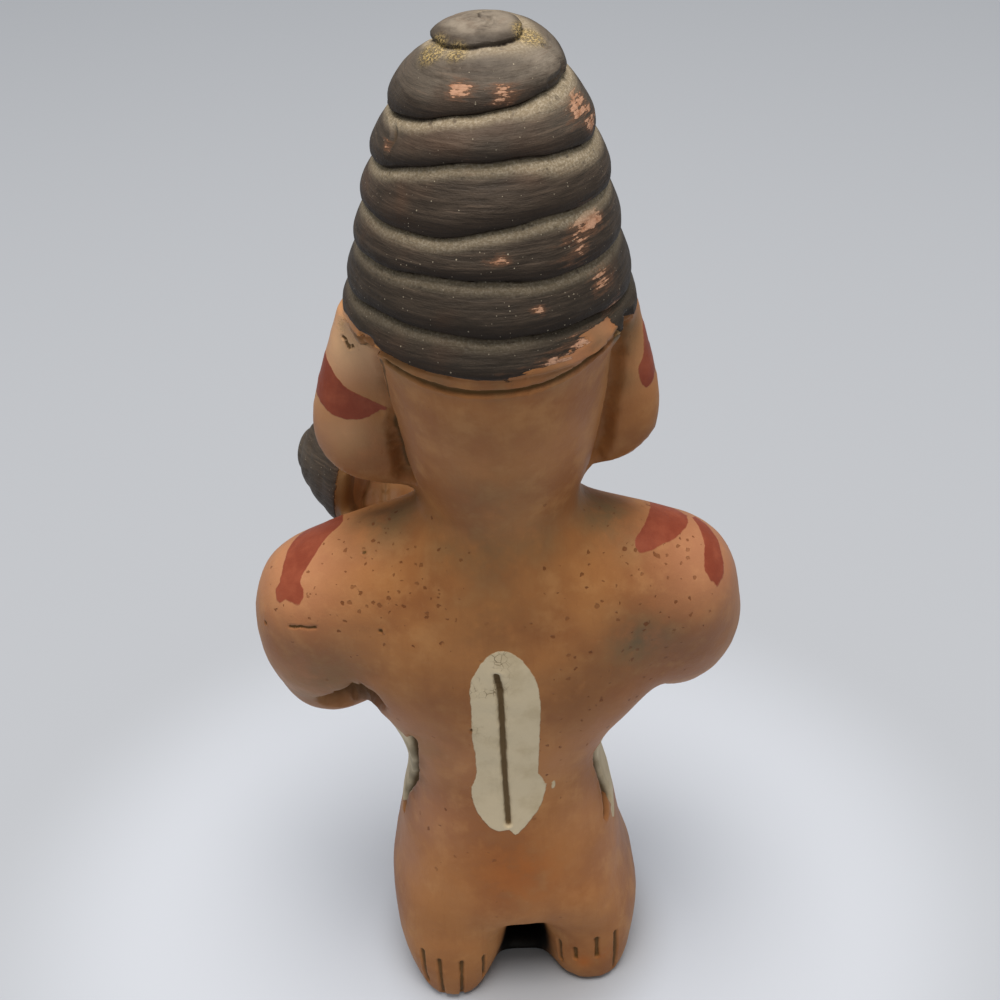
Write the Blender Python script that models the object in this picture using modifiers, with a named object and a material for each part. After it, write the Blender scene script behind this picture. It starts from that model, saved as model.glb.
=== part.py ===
# A hand-modelled figure of fired clay. It kneels with its toes tucked under, wears a tall hat
# wound from a coil of clay, and holds a small domed shield in its left fist. It faces -Y, its
# left side is +X, and it stands on the floor at z = 0. Sizes in this file are in millimetres
# and become metres when a mesh is made. Until it is centred, the hat's middle is at y = 0.

import math

import bmesh
import bpy
import numpy as np
from mathutils import Matrix, Vector

MM = 0.001
PART_NAME = "terracotta_figure"
TOUCH = 0.0001  # merge distance in metres

# Driving sizes
FIGURE_HEIGHT = 260
HAT_RIM_Z = 198
HAT_CENTRE_X = 1.2  # at the rim
HAT_LEAN = -0.012  # sideways for each unit of height
HAT_RADIUS = 31.6
HAT_DEPTH_RATIO = 1.06
HAT_TAPER = 1.05  # how early the dome starts to close in
HAT_ROUNDNESS = 2.9
HAT_EDGE = 2.4
LEFT_SHOULDER = (43, 0, 119.0)
RIGHT_SHOULDER = (-40, 0, 121.8)
UPPER_ARM_RADIUS = 18

# The clay is blended by fusing rough shapes on a grid and smoothing the joins
BODY_GRID = 1.6
BODY_SMOOTHING = 26
FINE_GRID = 1.15
FINE_SMOOTHING = 5
TRIANGLE_BUDGET = 9400
FLOOR_BLOCK = 300  # a block under the floor, as a cutter

RING_POINTS = 56
RINGS_PER_STATION = 4
TURN_STEPS = 96
DOME_STEPS = 40

# Trunk, from the hips to the neck: height, centre x, half width, back y, front y, squareness
TRUNK = [
    (19, 0.0, 20.0, 14.0, -16, 2.2),
    (26, -0.2, 31.5, 25.5, -24, 2.5),
    (40, -0.2, 30.5, 26.5, -26, 2.5),
    (54, 0.0, 28.4, 25.0, -25, 2.4),
    (66, 0.3, 25.8, 23.8, -22, 2.3),
    (74, 0.8, 25.7, 23.8, -22, 2.3),
    (81, 0.8, 27.6, 24.0, -23, 2.3),
    (88, -0.4, 31.8, 24.4, -24, 2.3),
    (97, -0.8, 38.6, 24.8, -25, 2.3),
    (110, 0.6, 42.0, 25.2, -26, 2.3),
    (124, 1.0, 40.0, 24.6, -24, 2.3),
    (136, 0.8, 33.0, 22.4, -19, 2.2),
    (146, 0.4, 23.0, 20.4, -15, 2.1),
]

# Head, from inside the chest to inside the hat, in the same order
HEAD = [
    (128, 0.0, 18.0, 17.5, -14, 2.0),
    (140, 0.0, 18.0, 18.4, -14, 2.0),
    (151, 0.0, 18.4, 19.8, -18, 2.0),
    (158, 0.0, 20.0, 22.0, -25, 2.1),
    (167, 0.0, 22.2, 25.2, -29, 2.2),
    (178, 0.0, 24.0, 28.8, -31, 2.2),
    (190, 0.4, 25.6, 32.0, -31, 2.2),
    (200, 0.8, 27.5, 32.6, -31, 2.1),
    (206, 1.0, 26.0, 29.0, -27, 2.1),
]


def spline(values, where):
    """A smooth curve through evenly spaced rows, at fractional positions along them."""
    rows = np.asarray(values, dtype=float)
    last = len(rows) - 1
    spot = np.clip(np.asarray(where, dtype=float), 0, last)
    low = np.minimum(np.floor(spot).astype(int), last - 1)
    part = (spot - low)[:, None]
    before = rows[np.maximum(low - 1, 0)]
    here = rows[low]
    there = rows[low + 1]
    beyond = rows[np.minimum(low + 2, last)]
    start_slope = (there - before) / 2
    end_slope = (beyond - here) / 2
    return (
        (2 * part**3 - 3 * part**2 + 1) * here
        + (part**3 - 2 * part**2 + part) * start_slope
        + (3 * part**2 - 2 * part**3) * there
        + (part**3 - part**2) * end_slope
    )


def new_object(name, mesh):
    made = bpy.data.objects.new(name, mesh)
    bpy.context.scene.collection.objects.link(made)
    return made


def object_from(name, shape):
    mesh = bpy.data.meshes.new(name)
    shape.to_mesh(mesh)
    shape.free()
    return new_object(name, mesh)


def loft(name, stations):
    """A closed skin over flattened rings, one above the other."""
    steps = (len(stations) - 1) * RINGS_PER_STATION + 1
    rows = spline(stations, np.linspace(0, len(stations) - 1, steps))
    shape = bmesh.new()
    rings = []
    for height, centre, half_width, back, front, squareness in rows:
        ring = []
        for step in range(RING_POINTS):
            angle = 2 * math.pi * step / RING_POINTS
            across = math.copysign(abs(math.cos(angle)) ** (2 / squareness), math.cos(angle))
            along = abs(math.sin(angle)) ** (2 / squareness)
            reach = back if math.sin(angle) > 0 else front
            point = Vector((centre + half_width * across, reach * along, height)) * MM
            ring.append(shape.verts.new(point))
        rings.append(ring)
    for lower, upper in zip(rings, rings[1:]):
        for step in range(RING_POINTS):
            after = (step + 1) % RING_POINTS
            shape.faces.new((lower[step], lower[after], upper[after], upper[step]))
    shape.faces.new(reversed(rings[0]))
    shape.faces.new(rings[-1])
    return object_from(name, shape)


def ball(name, centre, radii, turn=(0, 0, 0)):
    """An ellipsoid, turned by degrees about x, then y, then z."""
    shape = bmesh.new()
    bmesh.ops.create_uvsphere(shape, u_segments=32, v_segments=20, radius=1)
    size = Matrix.Diagonal((*[r * MM for r in radii], 1))
    rotated = Matrix.Identity(4)
    for axis, degrees in zip("XYZ", turn):
        rotated = Matrix.Rotation(math.radians(degrees), 4, axis) @ rotated
    placed = Matrix.Translation(Vector(centre) * MM) @ rotated @ size
    bmesh.ops.transform(shape, matrix=placed, verts=shape.verts)
    return object_from(name, shape)


def limb(name, route, radii):
    """A tapered tube with round ends along a smooth route."""
    steps = 8 * (len(route) - 1) + 1
    rows = spline([(*p, r) for p, r in zip(route, radii)], np.linspace(0, len(route) - 1, steps))
    curve = bpy.data.curves.new(name, "CURVE")
    curve.dimensions = "3D"
    curve.bevel_depth = MM
    curve.bevel_resolution = 6
    curve.use_fill_caps = True
    line = curve.splines.new("POLY")
    line.points.add(len(rows) - 1)
    for point, (x, y, z, radius) in zip(line.points, rows):
        point.co = (x * MM, y * MM, z * MM, 1)
        point.radius = radius
    tube = new_object(name, curve)
    mesh = evaluated_mesh(tube)
    bpy.data.objects.remove(tube)
    shape = bmesh.new()
    shape.from_mesh(mesh)
    bpy.data.meshes.remove(mesh)
    bmesh.ops.remove_doubles(shape, verts=shape.verts, dist=TOUCH)
    ends = [ball(name + "_end", tuple(rows[k][:3]), (rows[k][3],) * 3) for k in (0, -1)]
    return [object_from(name, shape), *ends]


def turned(name, rows):
    """Turns an outline of radius and height about Z, from the top down."""
    profile = bmesh.new()
    points = [profile.verts.new(Vector((radius, 0, height)) * MM) for radius, height in rows]
    for upper, lower in zip(points, points[1:]):
        profile.edges.new((upper, lower))
    outline = object_from(name + "_outline", profile)
    turn = outline.modifiers.new("Turn", "SCREW")
    turn.steps = TURN_STEPS
    turn.render_steps = TURN_STEPS
    turn.use_merge_vertices = True
    turn.merge_threshold = TOUCH / 10
    turn.use_normal_calculate = True
    mesh = evaluated_mesh(outline)
    bpy.data.objects.remove(outline)
    return new_object(name, mesh)


def evaluated_mesh(thing):
    depsgraph = bpy.context.evaluated_depsgraph_get()
    return bpy.data.meshes.new_from_object(thing.evaluated_get(depsgraph), depsgraph=depsgraph)


def flat_list(things):
    found = []
    for thing in things:
        found.extend(flat_list(thing) if isinstance(thing, list) else [thing])
    return found


def fuse(name, pieces, grid, smoothing):
    """Melts overlapping pieces into one skin on a grid, and softens the joins."""
    shape = bmesh.new()
    for piece in flat_list(pieces):
        shape.from_mesh(piece.data)
        bpy.data.objects.remove(piece)
    fused = object_from(name, shape)
    remesh = fused.modifiers.new("Fuse", "REMESH")
    remesh.mode = "VOXEL"
    remesh.voxel_size = grid * MM
    soften = fused.modifiers.new("Soften", "SMOOTH")
    soften.factor = 0.5
    soften.iterations = smoothing
    mesh = evaluated_mesh(fused)
    bpy.data.objects.remove(fused)
    return new_object(name, mesh)


# The hat: a turned dome, with one coil of clay wound up it. Each groove's height is given at
# the left ear, the nape and the right ear; across the front it climbs to the next turn.
LEFT_EAR_ANGLE = 80
RIGHT_EAR_ANGLE = -65
GROOVES = [
    (186, 190, 196.5),
    (209.5, 206.2, 206.8),
    (218.6, 216.4, 218.8),
    (227.2, 226.3, 229.0),
    (235.0, 238.2, 238.6),
    (245.1, 246.5, 248.6),
    (255.2, 256.3, 257.8),
]
GROOVE_DEPTH = 1.5
GROOVE_WIDTH = 2.0
BAND_SWELL = 0.4


def dome_radius(height):
    rise = np.clip((height - HAT_RIM_Z) / (FIGURE_HEIGHT - HAT_RIM_Z), 0, 1)
    return HAT_RADIUS * np.maximum(1 - rise**HAT_TAPER, 0) ** (1 / HAT_ROUNDNESS)


def make_hat():
    rows = [(0, FIGURE_HEIGHT)]
    for step in range(1, DOME_STEPS + 1):
        height = FIGURE_HEIGHT - (FIGURE_HEIGHT - HAT_RIM_Z) * (step / DOME_STEPS) ** 1.6
        rows.append((dome_radius(height), height))
    under = HAT_RIM_Z - HAT_EDGE
    rows += [(HAT_RADIUS - 0.4, HAT_RIM_Z - HAT_EDGE / 2), (HAT_RADIUS - 6, under), (0, under)]
    hat = turned("hat", rows)
    flatten = Matrix.Diagonal((1, HAT_DEPTH_RATIO, 1, 1))
    lean = Matrix(((1, 0, HAT_LEAN, 0), (0, 1, 0, 0), (0, 0, 1, 0), (0, 0, 0, 1)))
    rim = Matrix.Translation(Vector((HAT_CENTRE_X - HAT_LEAN * HAT_RIM_Z, 0, 0)) * MM)
    hat.data.transform(rim @ lean @ flatten)
    return hat


def groove_height(turn, angle):
    """Height of one groove at an angle from the nape towards the left ear, in degrees."""
    left, nape, right = GROOVES[turn]
    following = GROOVES[turn + 1][0] if turn + 1 < len(GROOVES) else left + 5
    travelled = (LEFT_EAR_ANGLE - angle) % 360
    stops = [0, LEFT_EAR_ANGLE, LEFT_EAR_ANGLE - RIGHT_EAR_ANGLE, 360]
    return np.interp(travelled, stops, [left, nape, right, following])


def wind_coil(figure):
    """Presses the groove between the coil's turns into the dome and swells the bands."""
    places, normals = skin(figure)
    angle = np.degrees(np.arctan2(places[:, 0] - HAT_CENTRE_X, places[:, 1]))
    height = places[:, 2]
    edges = np.stack([groove_height(k, angle) for k in range(len(GROOVES))])
    nearest = np.min(np.abs(edges - height), axis=0)
    depth = -GROOVE_DEPTH * np.exp(-((nearest / GROOVE_WIDTH) ** 2)) + BAND_SWELL * np.minimum(nearest / 4, 1)
    on_hat = np.clip((height - HAT_RIM_Z - 2) / 2, 0, 1) * np.clip((FIGURE_HEIGHT - height) / 1.5, 0, 1)
    press(figure, places + normals * (depth * on_hat)[:, None])


def make_torso():
    yoke = limb(
        "yoke",
        [RIGHT_SHOULDER, (-19, 1, 127.5), (0, 2, 128), (20, 1, 127), LEFT_SHOULDER],
        [UPPER_ARM_RADIUS, 19.5, 19.5, 19.5, UPPER_ARM_RADIUS],
    )
    return [loft("trunk", TRUNK), yoke]


def make_arms():
    left_upper = limb(
        "left_upper_arm",
        [LEFT_SHOULDER, (44, -3, 107), (44.4, -9, 93.4)],
        [UPPER_ARM_RADIUS, 17.6, 15.2],
    )
    left_fore = limb("left_forearm", [(44.6, -11, 93), (42, -22, 105), (33.6, -29, 118)], [14.6, 12, 8.5])
    right_upper = limb(
        "right_upper_arm",
        [RIGHT_SHOULDER, (-42, -5, 108), (-43, -14, 96)],
        [UPPER_ARM_RADIUS, 17.8, 16.0],
    )
    right_fore = limb("right_forearm", [(-42.5, -16, 95), (-27, -31, 98), (-9, -35, 103)], [14, 11, 8])
    return [left_upper, left_fore, right_upper, right_fore]


def make_legs():
    lap = [(-4, 0, 7, -20, -33, 2.4), (20, 0, 9, -16, -34, 2.4), (44, 0, 14, -10, -27, 2.2)]
    # a thin web of clay between the legs closes the hollow under them, except at the back
    web = [(-4, -2, 15, 13.5, -28, 5), (2.6, -2, 15, 13.5, -28, 5)]
    pieces = [loft("lap", lap), loft("web", web)]
    for side, foot_x, width, heel_y, round_off in ((1, 16.0, 16.4, 29.0, 4.6), (-1, 21.2, 14.8, 24.4, 2.6)):
        foot = [
            (-4, side * foot_x, width - round_off - 1, heel_y, -24, 2.5),
            (2, side * foot_x, width - round_off, heel_y, -28, 2.5),
            (9, side * foot_x, width - 0.8, heel_y, -31, 2.5),
            (18, side * foot_x, width, heel_y - 1.5, -32, 2.4),
            (30, side * 16, 16.6, 25.5, -28, 2.3),
            (44, side * 14, 14.5, 22.5, -22, 2.2),
        ]
        pieces.append(loft("leg", foot))
        thigh = [(side * 15, 0, 38), (side * 16, -16, 31), (side * 15.5, -30, 21)]
        pieces.append(limb("thigh", thigh, [14.5, 14, 13.5]))
        pieces.append(ball("knee", (side * 15.8, -31, 13), (13, 13, 15)))
    return pieces


def make_ears():
    # stations as in the loft: height, centre x, half width, back y, front y, squareness
    left = [
        (152.4, 21.6, 4.2, 3.0, -4.0, 2.2),
        (155.0, 25.6, 8.2, 4.6, -5.0, 2.3),
        (159.2, 29.0, 10.4, 6.0, -5.5, 2.4),
        (167, 31.4, 11.0, 6.6, -6.0, 2.5),
        (176, 31.8, 9.4, 6.6, -6.0, 2.5),
        (187, 30.8, 7.2, 6.4, -6.0, 2.4),
        (199, 28.6, 5.6, 6.0, -6.0, 2.4),
    ]
    right = [
        (157.8, -21.6, 5.0, 3.0, -5.0, 2.2),
        (159.6, -23.4, 7.4, 4.4, -6.0, 2.3),
        (164.2, -25.9, 9.1, 5.2, -6.5, 2.4),
        (171, -27.8, 9.4, 5.6, -7.0, 2.5),
        (179, -28.2, 8.0, 5.6, -7.0, 2.5),
        (188, -27.6, 6.4, 5.4, -6.5, 2.4),
        (199, -26.0, 5.0, 5.0, -6.0, 2.4),
    ]
    return [loft("left_ear", left), loft("right_ear", right)]


def make_face():
    pieces = [
        ball("nose_bridge", (0, -31.2, 181), (2.6, 3.4, 8.6)),
        ball("nose_tip", (0, -34.6, 174.6), (3.9, 4.2, 3.3)),
        ball("chin", (0, -22.6, 157.2), (11, 8, 6.6)),
        limb("upper_lip", [(-7, -29.4, 166.4), (0, -32.2, 167.2), (7, -29.4, 166.4)], [1.2, 1.8, 1.2]),
        limb("lower_lip", [(-5.6, -29.4, 164.4), (0, -31.6, 163.6), (5.6, -29.4, 164.4)], [1.2, 1.9, 1.2]),
    ]
    for side in (-1, 1):
        brow = [(side * 3.4, -31.2, 187.4), (side * 10, -30.4, 189.6), (side * 17.5, -25, 187.6)]
        pieces.append(limb("brow", brow, [1.4, 1.9, 1.3]))
        pieces.append(ball("nostril", (side * 3.4, -32.2, 173.6), (2.2, 2.8, 2.0)))
        pieces.append(ball("eye", (side * 10, -28.4, 181.8), (5.4, 3.4, 3.2)))
        pieces.append(ball("cheek", (side * 11, -18.6, 169), (10.5, 9.6, 11)))
    return pieces


# The shield is a ribbed dome with a flat back, turned left of straight ahead and tilted up
FIST = (32.2, -29.4, 125.8)
SHIELD_BACK = (35.6, -33, 137.6)  # the middle of its flat back
SHIELD_TURN = 77
SHIELD_TILT = 8.5
SHIELD_RADIUS = 17.6
SHIELD_DOME = 16.0
SHIELD_EDGE = 2.6
SHIELD_GROOVES = (0.34, 0.58, 0.81)  # as shares of the radius
SHIELD_GROOVE_DEPTH = 1.7
SHIELD_GROOVE_WIDTH = 0.08


def make_shield():
    rows = []
    for step in range(DOME_STEPS + 1):
        share = step / DOME_STEPS
        rise = SHIELD_DOME * (1 - share**2)
        for groove in SHIELD_GROOVES:
            rise -= SHIELD_GROOVE_DEPTH * math.exp(-(((share - groove) / SHIELD_GROOVE_WIDTH) ** 2))
        rows.append((SHIELD_RADIUS * share, rise))
    rows += [(SHIELD_RADIUS - 0.5, -SHIELD_EDGE), (0, -SHIELD_EDGE)]
    shield = turned("shield", rows)
    upright_to_ahead = Matrix.Rotation(math.radians(90 - SHIELD_TILT), 4, "X")
    to_the_left = Matrix.Rotation(math.radians(SHIELD_TURN), 4, "Z")
    shield.data.transform(Matrix.Translation(Vector(SHIELD_BACK) * MM) @ to_the_left @ upright_to_ahead)
    return shield


FINGER_SPACING = 6.1
RIGHT_PALM = (-3.5, -34.4, 104)
RIGHT_FINGER_SPACING = 4.3


def make_hands():
    pieces = [ball("fist", FIST, (9.6, 8.2, 7.4)), ball("wrist", (25.4, -27.6, 124.6), (7.4, 7.6, 7.4))]
    for finger in (-1, 0, 1):
        knuckle = Vector(FIST) + Vector((FINGER_SPACING * finger, 0, 0))
        over_the_top = [(0, 7.2, -3), (0, 6, 3), (0, 0.5, 4.9), (0, -6.4, 3.2), (0, -8.2, -3.5)]
        wrap = [tuple(knuckle + Vector(step)) for step in over_the_top]
        pieces.append(limb("finger", wrap, [3.1, 3.3, 3.3, 3.2, 2.8]))
    pieces.append(limb("left_thumb", [(26, -36, 116), (31, -39.5, 117), (36, -39.5, 118.6)], [3.2, 3.2, 2.8]))
    pieces.append(ball("right_palm", RIGHT_PALM, (8.6, 5, 7.6), (0, 10, 8)))
    for finger in range(4):
        height = RIGHT_PALM[2] + 5.6 - RIGHT_FINGER_SPACING * finger
        reach = 10 - abs(finger - 1.3) * 1.5
        pieces.append(limb("right_finger", [(-4, -37.4, height), (reach, -34.6, height + 2.5)], [2.8, 2.3]))
    pieces.append(limb("right_thumb", [(-8, -36, 109), (-4, -35.5, 114.5)], [3, 2.5]))
    return pieces


def skin(figure):
    """The places and the outward directions of a mesh's points, in millimetres."""
    count = len(figure.data.vertices)
    places = np.empty(count * 3)
    figure.data.vertices.foreach_get("co", places)
    normals = np.empty(count * 3)
    figure.data.vertices.foreach_get("normal", normals)
    return places.reshape(count, 3) / MM, normals.reshape(count, 3)


def press(figure, places):
    figure.data.vertices.foreach_set("co", (places * MM).ravel())
    figure.data.update()


def thin_out(figure):
    """Keeps the triangles where the clay curves most."""
    figure.data.calc_loop_triangles()
    keep = figure.modifiers.new("Thin out", "DECIMATE")
    keep.ratio = TRIANGLE_BUDGET / len(figure.data.loop_triangles)
    mesh = evaluated_mesh(figure)
    bpy.data.objects.remove(figure)
    return new_object(PART_NAME, mesh)


def centre(figure):
    """Puts the middle of the figure's outline over the origin."""
    corners = [Vector(corner) for corner in figure.bound_box]
    middle = (corners[0] + corners[6]) / 2
    figure.data.transform(Matrix.Translation((-middle.x, -middle.y, 0)))


def cut_flat(figure):
    """Cuts the underside off level at the floor, for the figure to stand on."""
    bpy.ops.mesh.primitive_cube_add(size=FLOOR_BLOCK * MM, location=(0, 0, -FLOOR_BLOCK / 2 * MM))
    cutter = bpy.context.object
    cutter.name = "floor_cutter"
    cutter.hide_render = True
    cutter.display_type = "WIRE"
    cut = figure.modifiers.new("Stand flat", "BOOLEAN")
    cut.operation = "DIFFERENCE"
    cut.solver = "EXACT"
    cut.object = cutter
    return cutter


def clay_material():
    clay = bpy.data.materials.new("burnished_terracotta")
    clay.use_nodes = True
    shader = clay.node_tree.nodes["Principled BSDF"]
    shader.inputs["Base Color"].default_value = (0.45, 0.21, 0.12, 1)
    shader.inputs["Roughness"].default_value = 0.55
    shader.inputs["Metallic"].default_value = 0
    return clay


def put_in_collection(name, thing):
    group = bpy.data.collections.new(name)
    bpy.context.scene.collection.children.link(group)
    for holder in list(thing.users_collection):
        holder.objects.unlink(thing)
    group.objects.link(thing)


def main():
    for thing in list(bpy.data.objects):
        bpy.data.objects.remove(thing)
    rough = [make_torso(), make_arms(), make_legs(), loft("head", HEAD)]
    body = fuse("body", rough, BODY_GRID, BODY_SMOOTHING)
    details = [body, make_hat(), make_ears(), make_face(), make_shield(), make_hands()]
    figure = fuse(PART_NAME, details, FINE_GRID, FINE_SMOOTHING)
    wind_coil(figure)
    figure = thin_out(figure)
    centre(figure)
    cutter = cut_flat(figure)
    figure.data.materials.append(clay_material())
    figure.data.shade_smooth()
    put_in_collection(PART_NAME, figure)
    put_in_collection("cutters", cutter)


main()
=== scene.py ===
import math

import bmesh
import bpy
import numpy as np
from mathutils import Matrix, Vector
from mathutils.bvhtree import BVHTree


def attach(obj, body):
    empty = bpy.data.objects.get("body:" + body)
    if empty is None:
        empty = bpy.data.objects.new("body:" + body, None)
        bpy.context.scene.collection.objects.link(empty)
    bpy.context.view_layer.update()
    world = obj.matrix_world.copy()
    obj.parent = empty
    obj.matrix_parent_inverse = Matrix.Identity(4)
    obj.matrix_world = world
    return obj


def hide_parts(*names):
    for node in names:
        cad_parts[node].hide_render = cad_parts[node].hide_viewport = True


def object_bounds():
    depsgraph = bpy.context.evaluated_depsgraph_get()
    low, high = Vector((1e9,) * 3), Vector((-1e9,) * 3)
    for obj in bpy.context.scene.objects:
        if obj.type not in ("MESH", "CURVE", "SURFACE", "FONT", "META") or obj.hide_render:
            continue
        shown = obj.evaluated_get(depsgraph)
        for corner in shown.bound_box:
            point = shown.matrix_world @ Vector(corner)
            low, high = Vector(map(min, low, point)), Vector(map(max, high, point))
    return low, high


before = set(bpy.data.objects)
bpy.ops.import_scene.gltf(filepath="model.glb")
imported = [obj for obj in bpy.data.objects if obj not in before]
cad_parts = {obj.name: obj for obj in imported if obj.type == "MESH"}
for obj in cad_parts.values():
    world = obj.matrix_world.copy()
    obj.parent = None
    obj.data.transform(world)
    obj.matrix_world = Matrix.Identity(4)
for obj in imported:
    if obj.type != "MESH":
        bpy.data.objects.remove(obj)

# A hand-modelled terracotta figure, burnished and painted with slip. The clay skin is one closed
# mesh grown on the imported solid, then relief, tool marks and painted areas are worked into it.
# Places below are in millimetres from the spot on the floor under the middle of the hat:
# x to the figure's left, y to its back, z up.

cadLow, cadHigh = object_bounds()
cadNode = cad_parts["terracotta_figure"]
mm = 0.001
mergeDistance = 1e-5
print("frame loaded, height", round(cadHigh.z / mm, 1), "mm")


def newObject(name, data):
    made = bpy.data.objects.new(name, data)
    bpy.context.scene.collection.objects.link(made)
    return made


def evaluatedMesh(thing):
    depsgraph = bpy.context.evaluated_depsgraph_get()
    return bpy.data.meshes.new_from_object(thing.evaluated_get(depsgraph), depsgraph=depsgraph)


def rawPoints(mesh, field="co"):
    values = np.empty(len(mesh.vertices) * 3)
    mesh.vertices.foreach_get(field, values)
    return values.reshape(-1, 3)


def findHatFoot():
    points = rawPoints(cadNode.data)
    ring = points[(points[:, 2] > 0.200) & (points[:, 2] < 0.235)]
    middle = (ring.min(0) + ring.max(0)) / 2
    return np.array([middle[0] - 0.0012, middle[1], 0])  # the hat leans by that much


hatFoot = findHatFoot()


def pointsOf(mesh):
    return (rawPoints(mesh) - hatFoot) / mm


def setPoints(mesh, points):
    mesh.vertices.foreach_set("co", (points * mm + hatFoot).ravel())
    mesh.update()


def edgesOf(mesh):
    ends = np.empty(len(mesh.edges) * 2, dtype=np.int32)
    mesh.edges.foreach_get("vertices", ends)
    return ends.reshape(-1, 2)


def storeValues(mesh, name, values):
    kind = "FLOAT" if np.ndim(values) == 1 else "FLOAT_VECTOR"
    attribute = mesh.attributes.get(name) or mesh.attributes.new(name, kind, "POINT")
    attribute.data.foreach_set("value" if kind == "FLOAT" else "vector", np.ravel(values).astype(np.float32))


def readValues(mesh, name):
    values = np.empty(len(mesh.vertices), dtype=np.float32)
    mesh.attributes[name].data.foreach_get("value", values)
    return values.astype(float)


def ease(values, low, high):
    share = np.clip((np.asarray(values, dtype=float) - low) / (high - low), 0, 1)
    return share * share * (3 - 2 * share)


def relax(points, edges, rounds, amount):
    # moves each point towards the middle of its neighbours
    count = len(points)
    neighbours = np.bincount(edges.ravel(), minlength=count)[:, None]
    amount = np.broadcast_to(amount, (count,))[:, None]
    for _ in range(rounds):
        total = np.empty_like(points)
        for axis in range(3):
            there = np.bincount(edges[:, 0], points[edges[:, 1], axis], count)
            back = np.bincount(edges[:, 1], points[edges[:, 0], axis], count)
            total[:, axis] = there + back
        points = points + amount * (total / neighbours - points)
    return points


def insideBy(across, up, outline):
    # how far inside a closed outline each place is, in mm; negative outside
    corners = np.asarray(outline, dtype=float)
    places = np.stack([across, up], 1)
    nearest = np.full(len(places), 1e9)
    inside = np.zeros(len(places), dtype=bool)
    for start, end in zip(corners, np.roll(corners, -1, 0)):
        run = end - start
        share = np.clip(((places - start) @ run) / (run @ run), 0, 1)
        nearest = np.minimum(nearest, np.hypot(*(places - start - share[:, None] * run).T))
        crosses = (start[1] > places[:, 1]) != (end[1] > places[:, 1])
        with np.errstate(divide="ignore", invalid="ignore"):
            meets = start[0] + run[0] * (places[:, 1] - start[1]) / run[1]
        inside ^= crosses & (places[:, 0] < meets)
    return np.where(inside, nearest, -nearest)


def fromLine(points, line):
    # distance in mm to a line through a few places
    nearest = np.full(len(points), 1e9)
    places = np.asarray(line, dtype=float)
    for start, end in zip(places, places[1:]):
        run = end - start
        share = np.clip(((points - start) @ run) / (run @ run), 0, 1)
        nearest = np.minimum(nearest, np.linalg.norm(points - start - share[:, None] * run, axis=1))
    return nearest


def linear(hexColour):
    parts = [int(hexColour[k:k + 2], 16) / 255 for k in (1, 3, 5)]
    return (*[c / 12.92 if c <= 0.04045 else ((c + 0.055) / 1.055) ** 2.4 for c in parts], 1)


def perMm(size):
    return 1 / (size * mm)  # noise scale for features of that size


def addNode(tree, kind, inputs=(), **settings):
    # inputs come in order or by their keys; a node among them is linked by its first output in use
    made = tree.nodes.new(kind)
    for name, value in settings.items():
        setattr(made, name, value)
    for key, value in inputs.items() if isinstance(inputs, dict) else enumerate(inputs):
        if isinstance(value, bpy.types.Node):
            value = next(socket for socket in value.outputs if socket.enabled)
        if isinstance(value, bpy.types.NodeSocket):
            tree.links.new(value, made.inputs[key])
        else:
            made.inputs[key].default_value = value
    return made


# Camera, floor and light

stage = {
    "cameraFrom": (0, 287, 348),  # mm
    "cameraPitch": 35,  # degrees below level
    "cameraRoll": -1.5,
    "lens": 54,
    "floorRadius": 5.0,  # metres
    "floorNear": "#aab1bc",
    "floorFar": "#999fa8",
    "clearTo": 0.12,  # metres from the figure where the pale floor starts to darken
    "greyFrom": 0.185,
    "paintedFloorGlow": 0.5,  # painted glow: the paper gives off a little light of its own to lighten the shadows, held back under the figure as a painted shadow
    "glowFrom": (0.022, 0.045),  # metres
    "underFigure": (-0.005, 0.014, 0),
    "skyColour": "#d8d3ca",
    "skyStrength": 0.48,
    "lampColour": "#fff5ea",
    "topLight": 21,  # watts
    "topLightAt": (0.03, 0.14, 1.42),
    "topLightSize": 0.9,
    "fillLight": 0.3,
    "fillLightAt": (-0.7, 0.75, 0.75),
    "fillLightSize": 0.6,
}


def makeCamera():
    data = bpy.data.cameras.new("camera")
    data.lens = stage["lens"]
    data.sensor_width = 36
    data.clip_start = 0.01
    camera = newObject("camera", data)
    turn = Matrix.Rotation(math.pi, 4, "Z")
    pitch = Matrix.Rotation(math.radians(90 - stage["cameraPitch"]), 4, "X")
    roll = Matrix.Rotation(math.radians(stage["cameraRoll"]), 4, "Z")
    spot = Vector(np.array(stage["cameraFrom"]) * mm + hatFoot)
    camera.matrix_world = Matrix.Translation(spot) @ turn @ pitch @ roll
    bpy.context.scene.camera = camera


def makeLight(name, spot, size, watts):
    data = bpy.data.lights.new(name, "AREA")
    data.shape = "DISK"
    data.size = size
    data.energy = watts
    data.color = linear(stage["lampColour"])[:3]
    light = newObject(name, data)
    light.location = spot
    aim = Vector((0, 0, cadHigh.z / 2)) - Vector(spot)
    light.rotation_euler = aim.to_track_quat("-Z", "Y").to_euler()


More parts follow.
